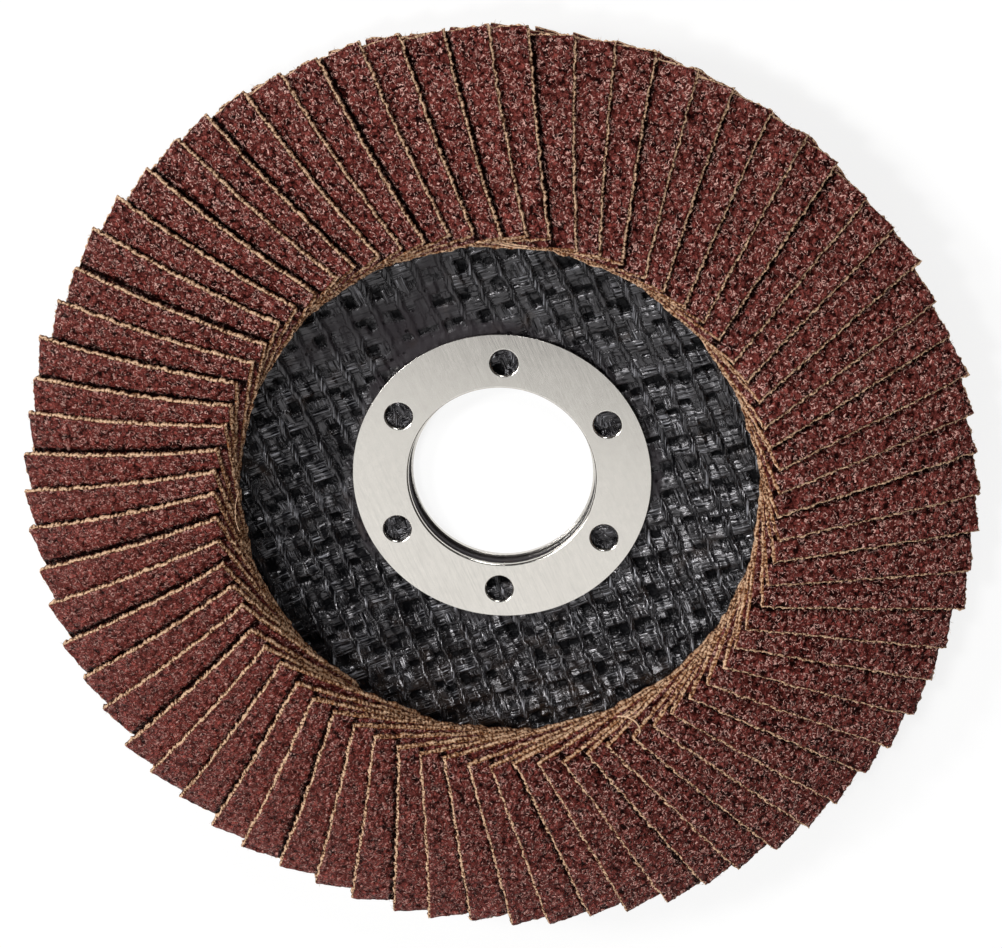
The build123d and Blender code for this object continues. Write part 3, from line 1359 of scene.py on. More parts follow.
    def relief(self, places: np.ndarray) -> dict[str, np.ndarray]:
        """Relief of the plate's front over the plan: the glass mesh, partly filled with resin.

        The share of resin is highest in one oval pool, near the steel ring and at the bore, and
        patchy elsewhere. Resin lowers the relief in proportion and adds a faint ripple.

        Args:
            places: Plan points in millimetres.

        Returns:
            Arrays height, across, along, resin and hollow for the points.
        """
        height, across, along = self.mesh_relief(places)
        patch = 0.6 * value_noise(places, 9.0, 31) + 0.4 * value_noise(places, 4.0, 32)
        off_x = (places[..., 0] - self.pool_centre[0]) / self.pool_size[0]
        off_y = (places[..., 1] - self.pool_centre[1]) / self.pool_size[1]
        pool = np.exp(-(off_x ** 2 + off_y ** 2))
        radius = np.hypot(places[..., 0], places[..., 1])
        near_ring = np.clip((self.ring_resin_outside - radius) / 1.4, 0, 1)
        near_ring = near_ring * np.clip((radius - self.ring_resin_inside) / 0.6, 0, 1)
        near_bore = np.clip(self.smooth_radius - radius, 0, 1)
        resin = self.least_resin + self.pool_resin * pool + self.patch_resin * patch
        resin = np.clip(resin + self.ring_resin * near_ring + near_bore, 0, self.most_resin)
        ripple = self.ripple * value_noise(places, 0.8, 33)
        filled = height * (1 - resin) - self.resin_sink * resin + ripple
        hollow = np.clip(-height * (1 - 0.4 * resin) / self.depth, 0, 1) * (1 - near_bore)
        return {"height": filled, "across": across, "along": along, "resin": resin, "hollow": hollow}

    def section(self) -> tuple[np.ndarray, int]:
        """Radii of the rings of points: out along the front, over the edge and back along the rear.

        The part of the front that shows has the closest rings.

        Returns:
            The radii, and how many of them are on the front.
        """
        front = np.concatenate([
            np.arange(self.bore, self.ring_edge, self.hub_step),
            np.arange(self.ring_edge, self.crown + 0.4, self.shown_step),
            np.linspace(self.crown + 0.6, self.rim - self.edge, self.bed_rows),
        ])
        over_edge = [self.rim, self.rim, self.rim - self.edge]
        back = np.concatenate([over_edge, np.linspace(self.rim - 2, self.bore, self.rear_rows)])
        return np.concatenate([front, back]), len(front)

    def build(self, laminate: Material) -> Piece:
        """Build the plate as one closed surface of rings of points about the axis.

        The front carries the relief, which fades out towards the bore and stays just under the steel
        ring. The rear is the plain cone, one thickness below.

        Args:
            laminate: Its finish.

        Returns:
            The new piece.
        """
        rings, fronts = self.section()
        radii = rings[:, None]
        is_back = np.arange(len(rings))[:, None] >= fronts
        turns = np.linspace(0, 2 * math.pi, self.spokes, endpoint=False)[None, :]
        places = np.stack([radii * np.cos(turns), radii * np.sin(turns)], axis=-1)
        relief = self.relief(places)
        strength = np.where(is_back, 0.0, np.clip(radii - self.bore, 0, 1))
        surface = self.height(radii) + strength * np.minimum(relief["height"], self.highest)
        below_ring = np.minimum(surface, self.floor - self.ring_gap)
        surface = np.where(radii < self.ring_edge + 0.4, below_ring, surface)
        rear = self.height(radii) - self.thickness + 0 * turns
        heights = np.where(is_back, rear, surface)
        rim_height = self.height(np.array(self.rim))
        heights[fronts] = rim_height - self.edge
        heights[fronts + 1] = rim_height - self.thickness + self.edge
        points = np.concatenate([places, heights[..., None]], axis=-1).reshape(-1, 3) * MM
        quads = grid_quads(len(radii), self.spokes, closed_rows=True, closed_columns=True)
        faces = quads[:, ::-1].tolist()
        piece = add_piece("woven_plate", points, faces, [laminate], Node.PLATE.value)
        add_values(piece.data, "fibre_across", relief["across"] * MM)
        add_values(piece.data, "fibre_along", relief["along"] * MM)
        add_values(piece.data, "resin", relief["resin"])
        add_values(piece.data, "hollow", np.where(is_back, 0.0, relief["hollow"]))
        return piece


# ---------------------------------------------------------------- glue bed


@dataclass
class GlueBed:
    """The ring of glue under the flaps, which keeps its packed form and only gets a finish."""

    node: Node = Node.GLUE

    def build(self, glue: Material) -> Piece:
        """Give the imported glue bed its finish.

        Args:
            glue: The finish.

        Returns:
            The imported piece.
        """
        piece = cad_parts[self.node.value]
        if not piece.data.materials:
            piece.data.materials.append(glue)
        for slot in piece.material_slots:
            slot.material = glue
        return piece


# ---------------------------------------------------------------- flaps


GRIT_FACE = 0
CLOTH_FACE = 1


@dataclass(frozen=True)
class Border:
    """Border of a flap's working face, in order round it, in millimetres.

    It holds the numbers of its points, their places on the sheet and the unit directions outward.
    """

    ring: np.ndarray
    edge_a: np.ndarray
    edge_b: np.ndarray
    side_a: np.ndarray
    side_b: np.ndarray


@dataclass(frozen=True)
class EdgeRing:
    """One ring of points round a flap's cut edge: how far out, how deep, how pale and how frayed."""

    out: float
    depth: float
    pale: float
    fray: float


@dataclass
class Sheet:
    """Mesh of one flap as it grows, in millimetres, with what its materials read."""

    points: list[np.ndarray] = field(default_factory=list)
    flats: list[np.ndarray] = field(default_factory=list)
    bareness_and_light: list[np.ndarray] = field(default_factory=list)
    relief: list[np.ndarray] = field(default_factory=list)
    faces: list[list[int]] = field(default_factory=list)
    marks: list[int] = field(default_factory=list)

    def count(self) -> int:
        """Number of points so far."""
        return sum(len(points) for points in self.points)

    def add_points(
        self,
        points: np.ndarray,
        flats: np.ndarray,
        bareness_and_light: float | np.ndarray,
        relief: float | np.ndarray = 0.0,
    ) -> None:
        """Add points.

        Args:
            points: Places on the bent cloth.
            flats: Places on the flat sheet.
            bareness_and_light: How pale the cloth is: unstained cotton, and painted light at the top of
                a cut edge.
            relief: Height of the grain, low in the groove, where the grit paints shade.
        """
        self.points.append(points)
        self.flats.append(flats)
        self.bareness_and_light.append(np.broadcast_to(bareness_and_light, len(points)))
        self.relief.append(np.broadcast_to(relief, len(points)))

    def add_faces(self, faces: list[list[int]], mark: int) -> None:
        """Add faces.

        Args:
            faces: Faces as lists of point numbers.
            mark: Number of their material.
        """
        self.faces += faces
        self.marks += [mark] * len(faces)


@dataclass
class FlapStack:
    """All flaps: flat rectangles of cloth bent about an oblique axis, two to a piece."""

    count: int = 72
    per_piece: int = 2
    length: float = 25.0
    width: float = 20.0
    thickness: float = 0.75
    grit_depth: float = 0.2
    bare_end: float = 0.22
    bare_side: float = 0.08
    groove: float = 0.25
    groove_width: float = 0.36
    groove_shift: float = 0.12
    coarse_cell: float = 0.75
    fine_cell: float = 0.42
    swell_cell: float = 4.5
    coarse_rise: float = 0.13
    fine_rise: float = 0.06
    swell_rise: float = 0.05
    sunk: float = 0.12
    chip: float = 0.09
    chip_cell: float = 0.7
    ragged: float = 0.05
    face_bleach: float = 0.3
    back_bleach: float = 0.35
    uneven_bleach: float = 0.35
    most_bleach: float = 1.4
    sheet_step: float = 40.0
    bend: float = 75.0
    bend_turn: float = math.radians(55)
    centre: Place = (44.56, -0.15, 9.23)
    roll: float = math.radians(-16.4)
    pitch: float = math.radians(7.8)
    skew: float = math.radians(1.0)
    phase: float = 1.46
    swings: tuple[float, float] = (0.22, 0.12)
    swing_rates: tuple[float, float] = (2.4, 0.61)
    misses: tuple[float, float] = (0.22, 0.12)
    miss_rates: tuple[float, float] = (1.7, 4.1)
    columns: int = 92
    shown_rows: int = 18
    hidden_rows: int = 20
    shown_width: float = 5.2
    spans: int = 3
    fibres: int = 84
    fibre_sides: tuple[float, float, float] = (0.4, 0.38, 0.22)
    fibre_girth: float = 0.028
    fibre_lean: float = 1.2
    fibre_least: float = 0.12
    fibre_spread: float = 0.5
    fibre_bleach: float = 0.9
    random: np.random.Generator = field(default_factory=lambda: np.random.default_rng(72))

    def on_sheet(self, along: np.ndarray, across: np.ndarray, lift: np.ndarray) -> np.ndarray:
        """Point of the bent cloth before it is laid in the ring.

        The cloth lies on a cylinder whose axis runs obliquely under it. A point is at the cylinder's
        height over its plan place, moved along the cylinder's outward normal by its lift.

        Args:
            along: Places along the flap, outwards, in millimetres.
            across: Places across the flap, away from the free edge.
            lift: Heights above the working face.

        Returns:
            Points in millimetres with their three coordinates on the last axis.
        """
        turn = self.bend_turn
        bent = -along * math.sin(turn) + across * math.cos(turn)
        straight = along * math.cos(turn) + across * math.sin(turn)
        angle = np.arcsin(np.clip(bent / self.bend, -1, 1))
        reach = (self.bend + lift) * np.sin(angle)
        height = (self.bend + lift) * np.cos(angle) - self.bend
        plan_x = straight * math.cos(turn) - reach * math.sin(turn)
        plan_y = straight * math.sin(turn) + reach * math.cos(turn)
        return np.stack([plan_x, plan_y, height], axis=-1)

    def placed(self, points: np.ndarray, index: int) -> np.ndarray:
        """Lay the cloth at its place in the ring, with the small misses of laying by hand.

        Args:
            points: Points of the bent cloth in millimetres.
            index: Number of the flap.

        Returns:
            Points in metres.
        """
        swing = sum(size * math.sin(rate * index) for size, rate in zip(self.swings, self.swing_rates))
        miss = sum(size * math.sin(rate * index) for size, rate in zip(self.misses, self.miss_rates))
        place = (
            Matrix.Rotation(math.radians(self.phase + index * 360 / self.count + swing), 4, "Z")
            @ Matrix.Translation((self.centre[0] + miss, self.centre[1], self.centre[2]))
            @ Matrix.Rotation(self.skew, 4, "Z")
            @ Matrix.Rotation(self.pitch, 4, "Y")
            @ Matrix.Rotation(self.roll, 4, "X")
        )
        turn = np.array(place.to_3x3())
        return (points @ turn.T + np.array(place.translation)) * MM

    def covered_from(self, along: np.ndarray) -> np.ndarray:
        """Line on a flap where the free edge of the flap above it lies.

        It is this flap's own free edge, turned about the disc's axis by one step of the ring and taken
        back into the flap's own plan.

        Args:
            along: Places along the flap in millimetres.

        Returns:
            Places across the flap.
        """
        turn = 2 * math.pi / self.count
        out = self.centre[0] + along * math.cos(self.pitch)
        edge = self.centre[1] - self.width / 2 * math.cos(self.roll)
        return (out * math.sin(turn) + edge * math.cos(turn) - self.centre[1]) / math.cos(self.roll)

    def working_face(self, index: int) -> tuple[np.ndarray, np.ndarray, np.ndarray, np.ndarray]:
        """Grid of a flap's working face, finest along the strip that shows.

        Its height is the sum of two sizes of rounded grain and a broad swell, less a groove, shaped
        as a bell curve, along the line where the free edge of the flap above lies.

        Args:
            index: Number of the flap.

        Returns:
            Places along and across the flap, height of the surface, and relief for its material, which
            is low in the groove so that the grit paints a shadow there.
        """
        along = np.linspace(-self.length / 2, self.length / 2, self.columns + 1)
        shown = np.linspace(0, self.shown_width, self.shown_rows + 1)
        hidden = np.linspace(self.shown_width, self.width, self.hidden_rows + 1)[1:]
        grid_a, grid_b = np.meshgrid(along, np.concatenate([shown, hidden]) - self.width / 2)
        flat = np.stack([grid_a, grid_b], axis=-1) + (self.sheet_step * index, 0)
        coarse = grain_field(flat, self.coarse_cell, 3)
        fine = grain_field(flat, self.fine_cell, 9)
        swell = value_noise(flat, self.swell_cell, 15)
        beyond = grid_b - self.covered_from(grid_a) + self.groove_shift
        pressed = np.exp(-((beyond / self.groove_width) ** 2))
        raised = self.coarse_rise * coarse + self.fine_rise * fine + self.swell_rise * swell
        lift = raised - self.sunk - self.groove * pressed
        # The relief for the material is lowered in the groove: a painted shadow under the free edge of
        # the flap above.
        return grid_a, grid_b, lift, coarse * 0.6 + fine * 0.4 - pressed

    def chipped(
        self, grid_a: np.ndarray, grid_b: np.ndarray, index: int
    ) -> tuple[np.ndarray, np.ndarray, Border]:
        """Move the outermost points of a working face in and out by noise, as cutting chips the grit.

        Args:
            grid_a: Places along the flap.
            grid_b: Places across it.
            index: Number of the flap.

        Returns:
            The moved places along and across, and the border.
        """
        rows, columns = grid_a.shape
        numbers = np.arange(rows * columns).reshape(rows, columns)
        ring = np.concatenate([numbers[0, :-1], numbers[:-1, -1], numbers[-1, :0:-1], numbers[:0:-1, 0]])
        out_a = np.zeros((rows, columns))
        out_b = np.zeros((rows, columns))
        out_a[:, 0], out_a[:, -1], out_b[0, :], out_b[-1, :] = -1, 1, -1, 1
        spots = np.stack([grid_a, grid_b], axis=-1) + (9.0 * index, 3.0)
        chip = self.chip * value_noise(spots, self.chip_cell, 41) - self.ragged
        grid_a = grid_a + out_a * chip
        grid_b = grid_b + out_b * chip
        side_a, side_b = out_a.ravel()[ring], out_b.ravel()[ring]
        size = np.maximum(np.hypot(side_a, side_b), 1)
        edge_a, edge_b = grid_a.ravel()[ring], grid_b.ravel()[ring]
        return grid_a, grid_b, Border(ring, edge_a, edge_b, side_a / size, side_b / size)

    def edge_rings(self) -> tuple[EdgeRing, ...]:
        """Rings of the cut edge from the top down: foot of the grit, two of cloth, and the back."""
        return (
            EdgeRing(0.0, self.grit_depth, 0.15, 0.0),
            # The upper ring of cloth is pale unstained cotton with painted light on it; the lower one is
            # darker, by stain and painted shade.
            EdgeRing(0.05, self.grit_depth + 0.02, 1.0, 0.24),
            EdgeRing(0.07, self.thickness - 0.10, 0.25, 0.28),
            EdgeRing(0.0, self.thickness, 0.3, 0.0),
        )

    def add_edge(self, sheet: Sheet, border: Border) -> np.ndarray:
        """Add the cut edge to a flap, ring by ring.

        The two rings of cloth stand out by a ledge at the inner end and the free edge and by random
        fraying. The free edge and the outer end are paler near the grit than the inner end, as a painted
        highlight.

        Args:
            sheet: The flap so far.
            border: Border of its working face.

        Returns:
            Numbers of the lowest ring's points.
        """
        count = len(border.ring)
        inner_end, free_edge, outer_end = border.side_a < 0, border.side_b < 0, border.side_a > 0
        fray = self.random.uniform(0, 1, count) ** 2
        ledge = self.bare_end * inner_end + self.bare_side * free_edge
        # Painted highlight on the cloth near the grit at the free edge and the outer end.
        painted_highlight = 0.3 * free_edge + 0.4 * outer_end
        upper, mark = border.ring, GRIT_FACE
        for level in self.edge_rings():
            frayed = level.fray > 0
            reach = level.out + level.fray * fray + ledge * frayed
            wave = self.ragged * self.random.uniform(-1, 1, count) * frayed
            place_a = border.edge_a + border.side_a * reach
            place_b = border.edge_b + border.side_b * reach
            near_grit = level.depth < self.thickness / 2
            pale = level.pale - 0.3 * inner_end + painted_highlight * near_grit
            bareness_and_light = pale + self.uneven_bleach * self.random.uniform(-1, 1, count)
            lower = sheet.count() + np.arange(count)
            sheet.add_points(
                self.on_sheet(place_a, place_b, -level.depth + wave),
                np.stack([place_a, place_b], axis=-1),
                np.clip(bareness_and_light, 0, self.most_bleach),
            )
            quads = np.stack([upper, lower, np.roll(lower, -1), np.roll(upper, -1)], axis=-1)
            sheet.add_faces(quads.tolist(), mark)
            upper, mark = lower, CLOTH_FACE
        return upper

    def sheet(self, index: int) -> Sheet:
        """Surface of one flap: working face, cut edge, back and loose fibres.

        Args:
            index: Number of the flap.

        Returns:
            The flap, not yet laid in the ring.
        """
        sheet = Sheet()
        grid_a, grid_b, lift, relief = self.working_face(index)
        along = grid_a[0]
        grid_a, grid_b, border = self.chipped(grid_a, grid_b, index)
        flats = np.stack([grid_a, grid_b], axis=-1).reshape(-1, 2)
        face = self.on_sheet(grid_a, grid_b, lift).reshape(-1, 3)
        sheet.add_points(face, flats, self.face_bleach, relief.ravel())
        sheet.add_faces(grid_quads(*grid_a.shape).tolist(), GRIT_FACE)
        self.add_back(sheet, self.add_edge(sheet, border), len(grid_a), along)
        self.add_fibres(sheet)
        return sheet

    def add_back(self, sheet: Sheet, ring: np.ndarray, rows: int, along: np.ndarray) -> None:
        """Close the back of a flap with a few spans across, joined to the fine ring of its edge.

        Args:
            sheet: The flap so far.
            ring: Numbers of the points of the lowest ring, in order round the flap.
            rows: Rows of the working face.
            along: Places of its columns.
        """
        columns = len(along)
        long_a = ring[:columns]
        end_a = ring[columns - 1:columns - 1 + rows]
        long_b = ring[columns + rows - 2:2 * columns + rows - 2][::-1]
        end_b = np.concatenate([ring[2 * columns + rows - 3:], ring[:1]])[::-1]
        middle = np.linspace(-self.width / 2, self.width / 2, self.spans + 1)[1:-1]
        grid_a, grid_b = np.meshgrid(along[1:-1], middle)
        points = self.on_sheet(grid_a, grid_b, np.full(grid_a.shape, -self.thickness)).reshape(-1, 3)
        inner = sheet.count() + np.arange(len(points)).reshape(len(middle), columns - 2)
        sheet.add_points(points, points[:, :2], self.back_bleach)
        table = np.vstack([long_a[1:-1], inner, long_b[1:-1]])
        corners = [table[:-1, :-1], table[1:, :-1], table[1:, 1:], table[:-1, 1:]]
        sheet.add_faces(np.stack(corners, axis=-1).reshape(-1, 4).tolist(), CLOTH_FACE)
        sheet.add_faces(self.zip(table[:, 0], end_b, True), CLOTH_FACE)
        sheet.add_faces(self.zip(table[:, -1], end_a, False), CLOTH_FACE)

    def zip(self, coarse: np.ndarray, fine: np.ndarray, flip: bool) -> list:
        """Join a coarse row of points to a fine one with triangles.

        Each fine segment gets a triangle to the coarse point nearest in share of the row, and each
        coarse segment one to the fine point where that nearest point changes.

        Args:
            coarse: Numbers of the coarse row's points.
            fine: Numbers of the fine row's points, in the same direction.
            flip: Whether the triangles are turned over.

        Returns:
            The triangles.
        """
        share = np.arange(len(fine)) * (len(coarse) - 1) / (len(fine) - 1)
        nearest = np.rint(share).astype(int)
        owner = nearest[1:]
        fans = np.stack([fine[:-1], fine[1:], coarse[owner]], axis=-1)
        change = np.flatnonzero(np.diff(nearest))
        links = np.stack([coarse[nearest[change]], fine[change], coarse[nearest[change + 1]]], axis=-1)
        both = np.concatenate([fans[:, ::-1], links[:, ::-1]])
        return (both[:, ::-1] if flip else both).tolist()

    def add_fibres(self, sheet: Sheet) -> None:
        """Add short cotton fibres that stand out from the cut edges of a flap.

        Each is a slim three-sided spike bent once: three points at its root, three at its middle and
        one at its tip. They stand at the free edge, the inner end and the outer end.

        Args:
            sheet: The flap so far.
        """
        count = self.fibres
        side = self.random.choice(3, count, p=self.fibre_sides)
        run = self.random.uniform(-1, 1, count)
        half_length, half_width = self.length / 2, self.width / 2
        root_a = np.select([side == 0, side == 1], [run * half_length, -half_length], half_length)
        root_b = np.select([side == 0], [-half_width], run * half_width)
        out_a = np.select([side == 0, side == 1], [0.0, -1.0], 1.0)
        out = np.stack([out_a, np.where(side == 0, -1.0, 0.0)], axis=-1)
        lean = self.random.uniform(-self.fibre_lean, self.fibre_lean, count)
        reach = self.fibre_least + self.fibre_spread * self.random.uniform(0, 1, count) ** 2
        depth = -self.random.uniform(self.grit_depth, self.thickness, count)
        sideways = np.stack([-out[:, 1], out[:, 0]], axis=-1)
        drift = sideways * lean[:, None]
        base = np.stack([root_a, root_b], axis=-1)
        middle = base + (out + 0.3 * drift) * (0.55 * reach[:, None])
        tip = base + (out + drift) * reach[:, None]
        corners = 2 * math.pi * np.arange(3) / 3
        spikes = []
        for place, lift, girth in (
            (base, depth, self.fibre_girth),
            (middle, depth + 0.08, 0.8 * self.fibre_girth),
        ):
            spot = place[:, None] + girth * np.cos(corners)[None, :, None] * sideways[:, None]
            height = lift[:, None] + girth * np.sin(corners)
            spikes.append(self.on_sheet(*np.moveaxis(spot, -1, 0), height))
        height = (depth + self.random.uniform(-0.05, 0.25, count))[:, None]
        spikes.append(self.on_sheet(tip[:, :1], tip[:, 1:], height))
        points = np.concatenate(spikes, axis=1).reshape(-1, 3)
        first = sheet.count() + 7 * np.arange(count)[:, None]
        sheet.add_points(points, points[:, :2], self.fibre_bleach)
        for corner in range(3):
            after = (corner + 1) % 3
            wall = first + np.array([corner, after, 3 + after, 3 + corner])
            sheet.add_faces(wall.tolist(), CLOTH_FACE)
            sheet.add_faces((first + np.array([3 + corner, 3 + after, 6])).tolist(), CLOTH_FACE)
        sheet.add_faces((first + np.array([2, 1, 0])).tolist(), CLOTH_FACE)

    def build(self, grit: Material, cloth: Material) -> list[Piece]:
        """Build all flaps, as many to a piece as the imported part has.

        Args:
            grit: Finish of the working face.
            cloth: Finish of the cut edges and the back.

        Returns:
            The new pieces.
        """
        pieces = []
        for number in range(self.count // self.per_piece):
            points, faces, marks, flats, bareness_and_light, relief = [], [], [], [], [], []
            total = 0
            for index in range(number * self.per_piece, (number + 1) * self.per_piece):
                sheet = self.sheet(index)
                points.append(self.placed(np.concatenate(sheet.points), index))
                faces += [[total + corner for corner in face] for face in sheet.faces]
                marks += sheet.marks
                flats.append(np.concatenate(sheet.flats) + (self.sheet_step * index, 0.0))
                bareness_and_light += sheet.bareness_and_light
                relief += sheet.relief
                total += sheet.count()
            name, node = f"grit_flaps_{number + 1:02d}", f"flaps_{number + 1:02d}"
            piece = add_piece(name, np.concatenate(points), faces, [grit, cloth], node)
            mesh = piece.data
            mesh.polygons.foreach_set("material_index", np.array(marks, dtype=np.int32))
            add_flat_places(mesh, np.concatenate(flats) * MM)
            add_values(mesh, "bareness_and_light", np.concatenate(bareness_and_light))
            add_values(mesh, "relief", np.concatenate(relief))
            pieces.append(piece)
        return pieces


# ---------------------------------------------------------------- loose threads


@dataclass(frozen=True)
class Thread:
    """One loose cotton thread, in millimetres and degrees: where it starts, its way, turn and rise."""

    name: str
    azimuth: float
    radius: float
    height: float
    heading: float
    turn: float
    length: float
    rise: float
    girth: float


@dataclass
class LooseThreads:
    """Threads that have come out of the cut ends of the cloth."""

    threads: tuple[Thread, ...] = (
        Thread("curled_thread", -61.4, 31.1, 12.8, 34, turn=-155, length=5.0, rise=0.9, girth=0.1),
        Thread("torn_end_upper", 90.5, 32.8, 11.0, -14, turn=22, length=7.8, rise=0.5, girth=0.11),
        Thread("torn_end_lower", 91.0, 32.5, 11.0, -12, turn=16, length=10.0, rise=0.3, girth=0.10),
        Thread("stray_thread", 179, 31.3, 12.2, -108, turn=34, length=5.0, rise=0.4, girth=0.04),
    )
    sides: int = 7
    steps: int = 36
    lobe: float = 0.3
    lobe_turn: float = 1.1
    bareness_and_light: float = 0.95

    def route(self, thread: Thread) -> np.ndarray:
        """Line of the thread: its heading turns evenly along it, and it rises to its middle and sinks.

        Args:
            thread: The thread.

        Returns:
            Points along the line.
        """
        share = np.linspace(0, 1, self.steps + 1)
        way = np.radians(thread.heading + thread.turn * share)
        stride = thread.length / self.steps
        start = math.radians(thread.azimuth)
        along_x = thread.radius * math.cos(start) + stride * (np.cumsum(np.cos(way)) - np.cos(way[0]))
        along_y = thread.radius * math.sin(start) + stride * (np.cumsum(np.sin(way)) - np.sin(way[0]))
        height = thread.height + thread.rise * np.sin(math.pi * share)
        return np.stack([along_x, along_y, height], axis=-1)

    def tube(self, thread: Thread) -> tuple[np.ndarray, list]:
        """Closed tube with the two lobes of a twisted pair.

        A ring of points stands square to each point of the line, and its radius swings twice a turn,
        by a phase that runs on along the line. A single point closes each end.

        Args:
            thread: The thread.

        Returns:
            Points in millimetres and faces.
        """
        line = self.route(thread)
        ahead = np.gradient(line, axis=0)
        ahead /= np.linalg.norm(ahead, axis=1, keepdims=True)
        side = np.cross(ahead, (0.0, 0.0, 1.0))
        side /= np.linalg.norm(side, axis=1, keepdims=True)
        above = np.cross(ahead, side)
        turns = np.linspace(0, 2 * math.pi, self.sides, endpoint=False)[None, :]
        phase = self.lobe_turn * np.arange(len(line))[:, None]
        size = (thread.girth * (1 + self.lobe * np.cos(2 * turns + phase)))[..., None]
        sideways = np.cos(turns)[..., None] * side[:, None]
        rings = line[:, None] + size * (sideways + np.sin(turns)[..., None] * above[:, None])
        points = np.vstack([rings.reshape(-1, 3), line[:1], line[-1:]])
        around = np.arange(self.sides)
        after = np.roll(around, -1)
        last = (len(line) - 1) * self.sides
        start, end = np.full((2, self.sides), [[len(points) - 2], [len(points) - 1]])
        faces = grid_quads(len(line), self.sides, closed_columns=True).tolist()
        faces += np.stack([after, around, start], axis=-1).tolist()
        faces += np.stack([last + around, last + after, end], axis=-1).tolist()
        return points, faces

    def build(self, cloth: Material) -> list[Piece]:
        """Build each thread as a piece that rides on the part.

        Args:
            cloth: Finish of the threads.

        Returns:
            The new pieces.
        """
        pieces = []
        for thread in self.threads:
            points, faces = self.tube(thread)
            mesh = bpy.data.meshes.new(thread.name)
            mesh.from_pydata((points * MM).tolist(), [], faces)
            mesh.polygons.foreach_set("use_smooth", np.ones(len(mesh.polygons), dtype=bool))
            mesh.materials.append(cloth)
            add_values(mesh, "bareness_and_light", np.full(len(points), self.bareness_and_light))
            add_flat_places(mesh, np.zeros((len(points), 2)))
            piece = bpy.data.objects.new(thread.name, mesh)
            bpy.context.scene.collection.objects.link(piece)
            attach(piece, "root")
            pieces.append(piece)
        return pieces


# ---------------------------------------------------------------- studio


@dataclass(frozen=True)
class Lamp:
    """One soft square lamp: its place and the length of its sides in metres, its power in watts."""

    name: str
    place: Place
    size: float
    power: float


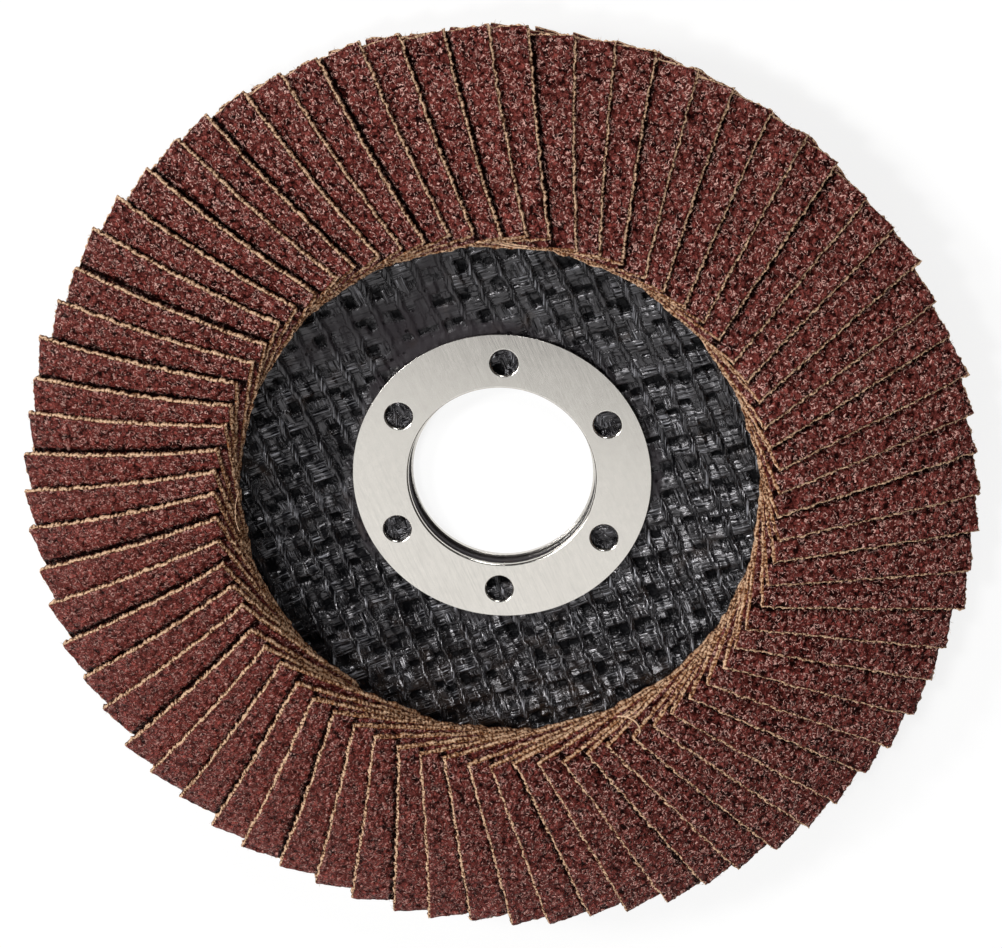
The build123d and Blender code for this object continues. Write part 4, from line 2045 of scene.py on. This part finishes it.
@dataclass
class Studio:
    """White floor, soft lights and the camera, whose target and distance are in millimetres."""

    target: Place = (-0.087, 0.382, 3.0)
    distance: float = 507.889
    tilt: float = math.radians(20.5955)
    toward: float = math.radians(79.2524)
    lens: float = 148.825
    sensor: float = 36.0
    nearest: float = 0.01
    floor_size: float = 6.0
    floor_gap: float = 0.00002
    glow: Colour = (1.0, 1.0, 1.0, 1.0)
    glow_strength: float = 0.82
    matte: Colour = (0.8, 0.8, 0.8, 1.0)
    faint: Colour = (0.2, 0.2, 0.2, 1.0)
    surround: float = 0.05
    lamps: tuple[Lamp, ...] = (
        Lamp("front_panel", (-0.112, -0.579, 0.540), 0.92, 2.7),
        Lamp("key", (-0.259, -0.021, 0.650), 0.12, 1.6),
        Lamp("side", (-0.500, 0.200, 0.450), 0.16, 2.3),
        Lamp("back", (0.09, 0.56, 0.46), 0.2, 1.9),
    )

    def white(self, name: str) -> Material:
        """White floor that keeps shadows: for the camera and in reflections it is mostly self-lit.

        Args:
            name: Name of the material.

        Returns:
            The material.
        """
        material = bpy.data.materials.new(name)
        material.use_nodes = True
        material.node_tree.nodes.clear()
        shader = Shader(material.node_tree)
        path = shader.add("ShaderNodeLightPath")
        seen = shader.math("MAXIMUM", path.outputs["Is Camera Ray"], path.outputs["Is Transmission Ray"])
        glow = shader.add("ShaderNodeEmission")
        shader.feed(glow, Color=self.glow, Strength=self.glow_strength)
        matte = shader.feed(shader.add("ShaderNodeBsdfDiffuse"), Color=self.matte)
        faint = shader.feed(shader.add("ShaderNodeBsdfDiffuse"), Color=self.faint)
        lit = shader.add("ShaderNodeAddShader")
        shader.tree.links.new(glow.outputs[0], lit.inputs[0])
        shader.tree.links.new(faint.outputs[0], lit.inputs[1])
        pick = shader.add("ShaderNodeMixShader")
        shader.feed(pick, Fac=shader.math("MAXIMUM", seen, path.outputs["Is Glossy Ray"]))
        shader.tree.links.new(matte.outputs[0], pick.inputs[1])
        shader.tree.links.new(lit.outputs[0], pick.inputs[2])
        output = shader.add("ShaderNodeOutputMaterial")
        shader.feed(output, Surface=pick.outputs[0])
        return material

    def floor(self) -> Piece:
        """Build the floor under the resting disc.

        Returns:
            The floor.
        """
        half = self.floor_size / 2
        mesh = bpy.data.meshes.new("floor")
        corners = [(-half, -half, 0), (half, -half, 0), (half, half, 0), (-half, half, 0)]
        mesh.from_pydata(corners, [], [(0, 1, 2, 3)])
        mesh.materials.append(self.white("studio_white"))
        floor = bpy.data.objects.new("floor", mesh)
        floor.location.z = CAD_BOX[0][2] - self.floor_gap
        bpy.context.scene.collection.objects.link(floor)
        floor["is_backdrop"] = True
        return floor

    def hang(self, made: Lamp) -> None:
        """Add a lamp aimed at the disc.

        Args:
            made: The lamp's values.
        """
        light = bpy.data.lights.new(made.name, "AREA")
        light.shape = "SQUARE"
        light.size = made.size
        light.energy = made.power
        lamp = bpy.data.objects.new(made.name, light)
        lamp.location = made.place
        lamp.rotation_euler = (-Vector(made.place)).to_track_quat("-Z", "Y").to_euler()
        bpy.context.scene.collection.objects.link(lamp)

    def world(self) -> None:
        """Surround the disc with faint even light, pure white where the camera sees it."""
        world = bpy.data.worlds.new("studio")
        bpy.context.scene.world = world
        world.use_nodes = True
        world.node_tree.nodes.clear()
        shader = Shader(world.node_tree)
        path = shader.add("ShaderNodeLightPath")
        seen = shader.math("MAXIMUM", path.outputs["Is Camera Ray"], path.outputs["Is Transmission Ray"])
        level = shader.span(seen, 0.0, 1.0, self.surround, 1.0)
        back = shader.feed(shader.add("ShaderNodeBackground"), Color=self.glow, Strength=level)
        shader.feed(shader.add("ShaderNodeOutputWorld"), Surface=back.outputs[0])

    def camera(self) -> None:
        """Place the camera on its line of sight to the target, with the picture's up along +Y."""
        side = math.sin(self.tilt)
        sight = Vector((side * math.cos(self.toward), side * math.sin(self.toward), math.cos(self.tilt)))
        data = bpy.data.cameras.new("camera")
        data.lens = self.lens
        data.sensor_width = self.sensor
        data.clip_start = self.nearest
        camera = bpy.data.objects.new("camera", data)
        right = Vector((0, 1, 0)).cross(sight).normalized()
        up = sight.cross(right)
        place = (Vector(self.target) + sight * self.distance) * MM
        turn = Matrix((right, up, sight)).transposed()
        camera.matrix_world = Matrix.Translation(place) @ turn.to_4x4()
        bpy.context.scene.collection.objects.link(camera)
        bpy.context.scene.camera = camera

    def build(self) -> None:
        """Build floor, lights, world and camera."""
        self.floor()
        for lamp in self.lamps:
            self.hang(lamp)
        self.world()
        self.camera()
        bpy.context.scene.view_settings.view_transform = "Standard"


def main() -> None:
    """Build every piece of the disc and the studio, and report each."""
    logging.basicConfig(level=logging.INFO, format="%(name)s: %(message)s")
    tone = uneven_tone_group()
    steel = SatinSteel("satin_steel", (0.72, 0.69, 0.64, 1.0), 0.15).build(tone)
    laminate = GlassLaminate("black_laminate", (0.0038, 0.0035, 0.0045, 1.0), 0.18).build(tone)
    glue = CuredGlue("cured_glue", (0.10, 0.045, 0.018, 1.0), 0.6).build(tone)
    grit = GritCoat("grit_coat", (0.15, 0.028, 0.022, 1.0), 0.28).build()
    cloth = ClothEdge("cloth_edge", (0.96, 0.64, 0.42, 1.0), 0.85).build()
    pieces = HubRings().build(steel)
    pieces.append(GlassPlate().build(laminate))
    pieces.append(GlueBed().build(glue))
    pieces += FlapStack().build(grit, cloth)
    pieces += LooseThreads().build(cloth)
    for piece in pieces:
        mesh = piece.data
        LOG.info("%s: %d points, %d faces", piece.name, len(mesh.vertices), len(mesh.polygons))
    Studio().build()


if __name__ == "__main__":
    main()
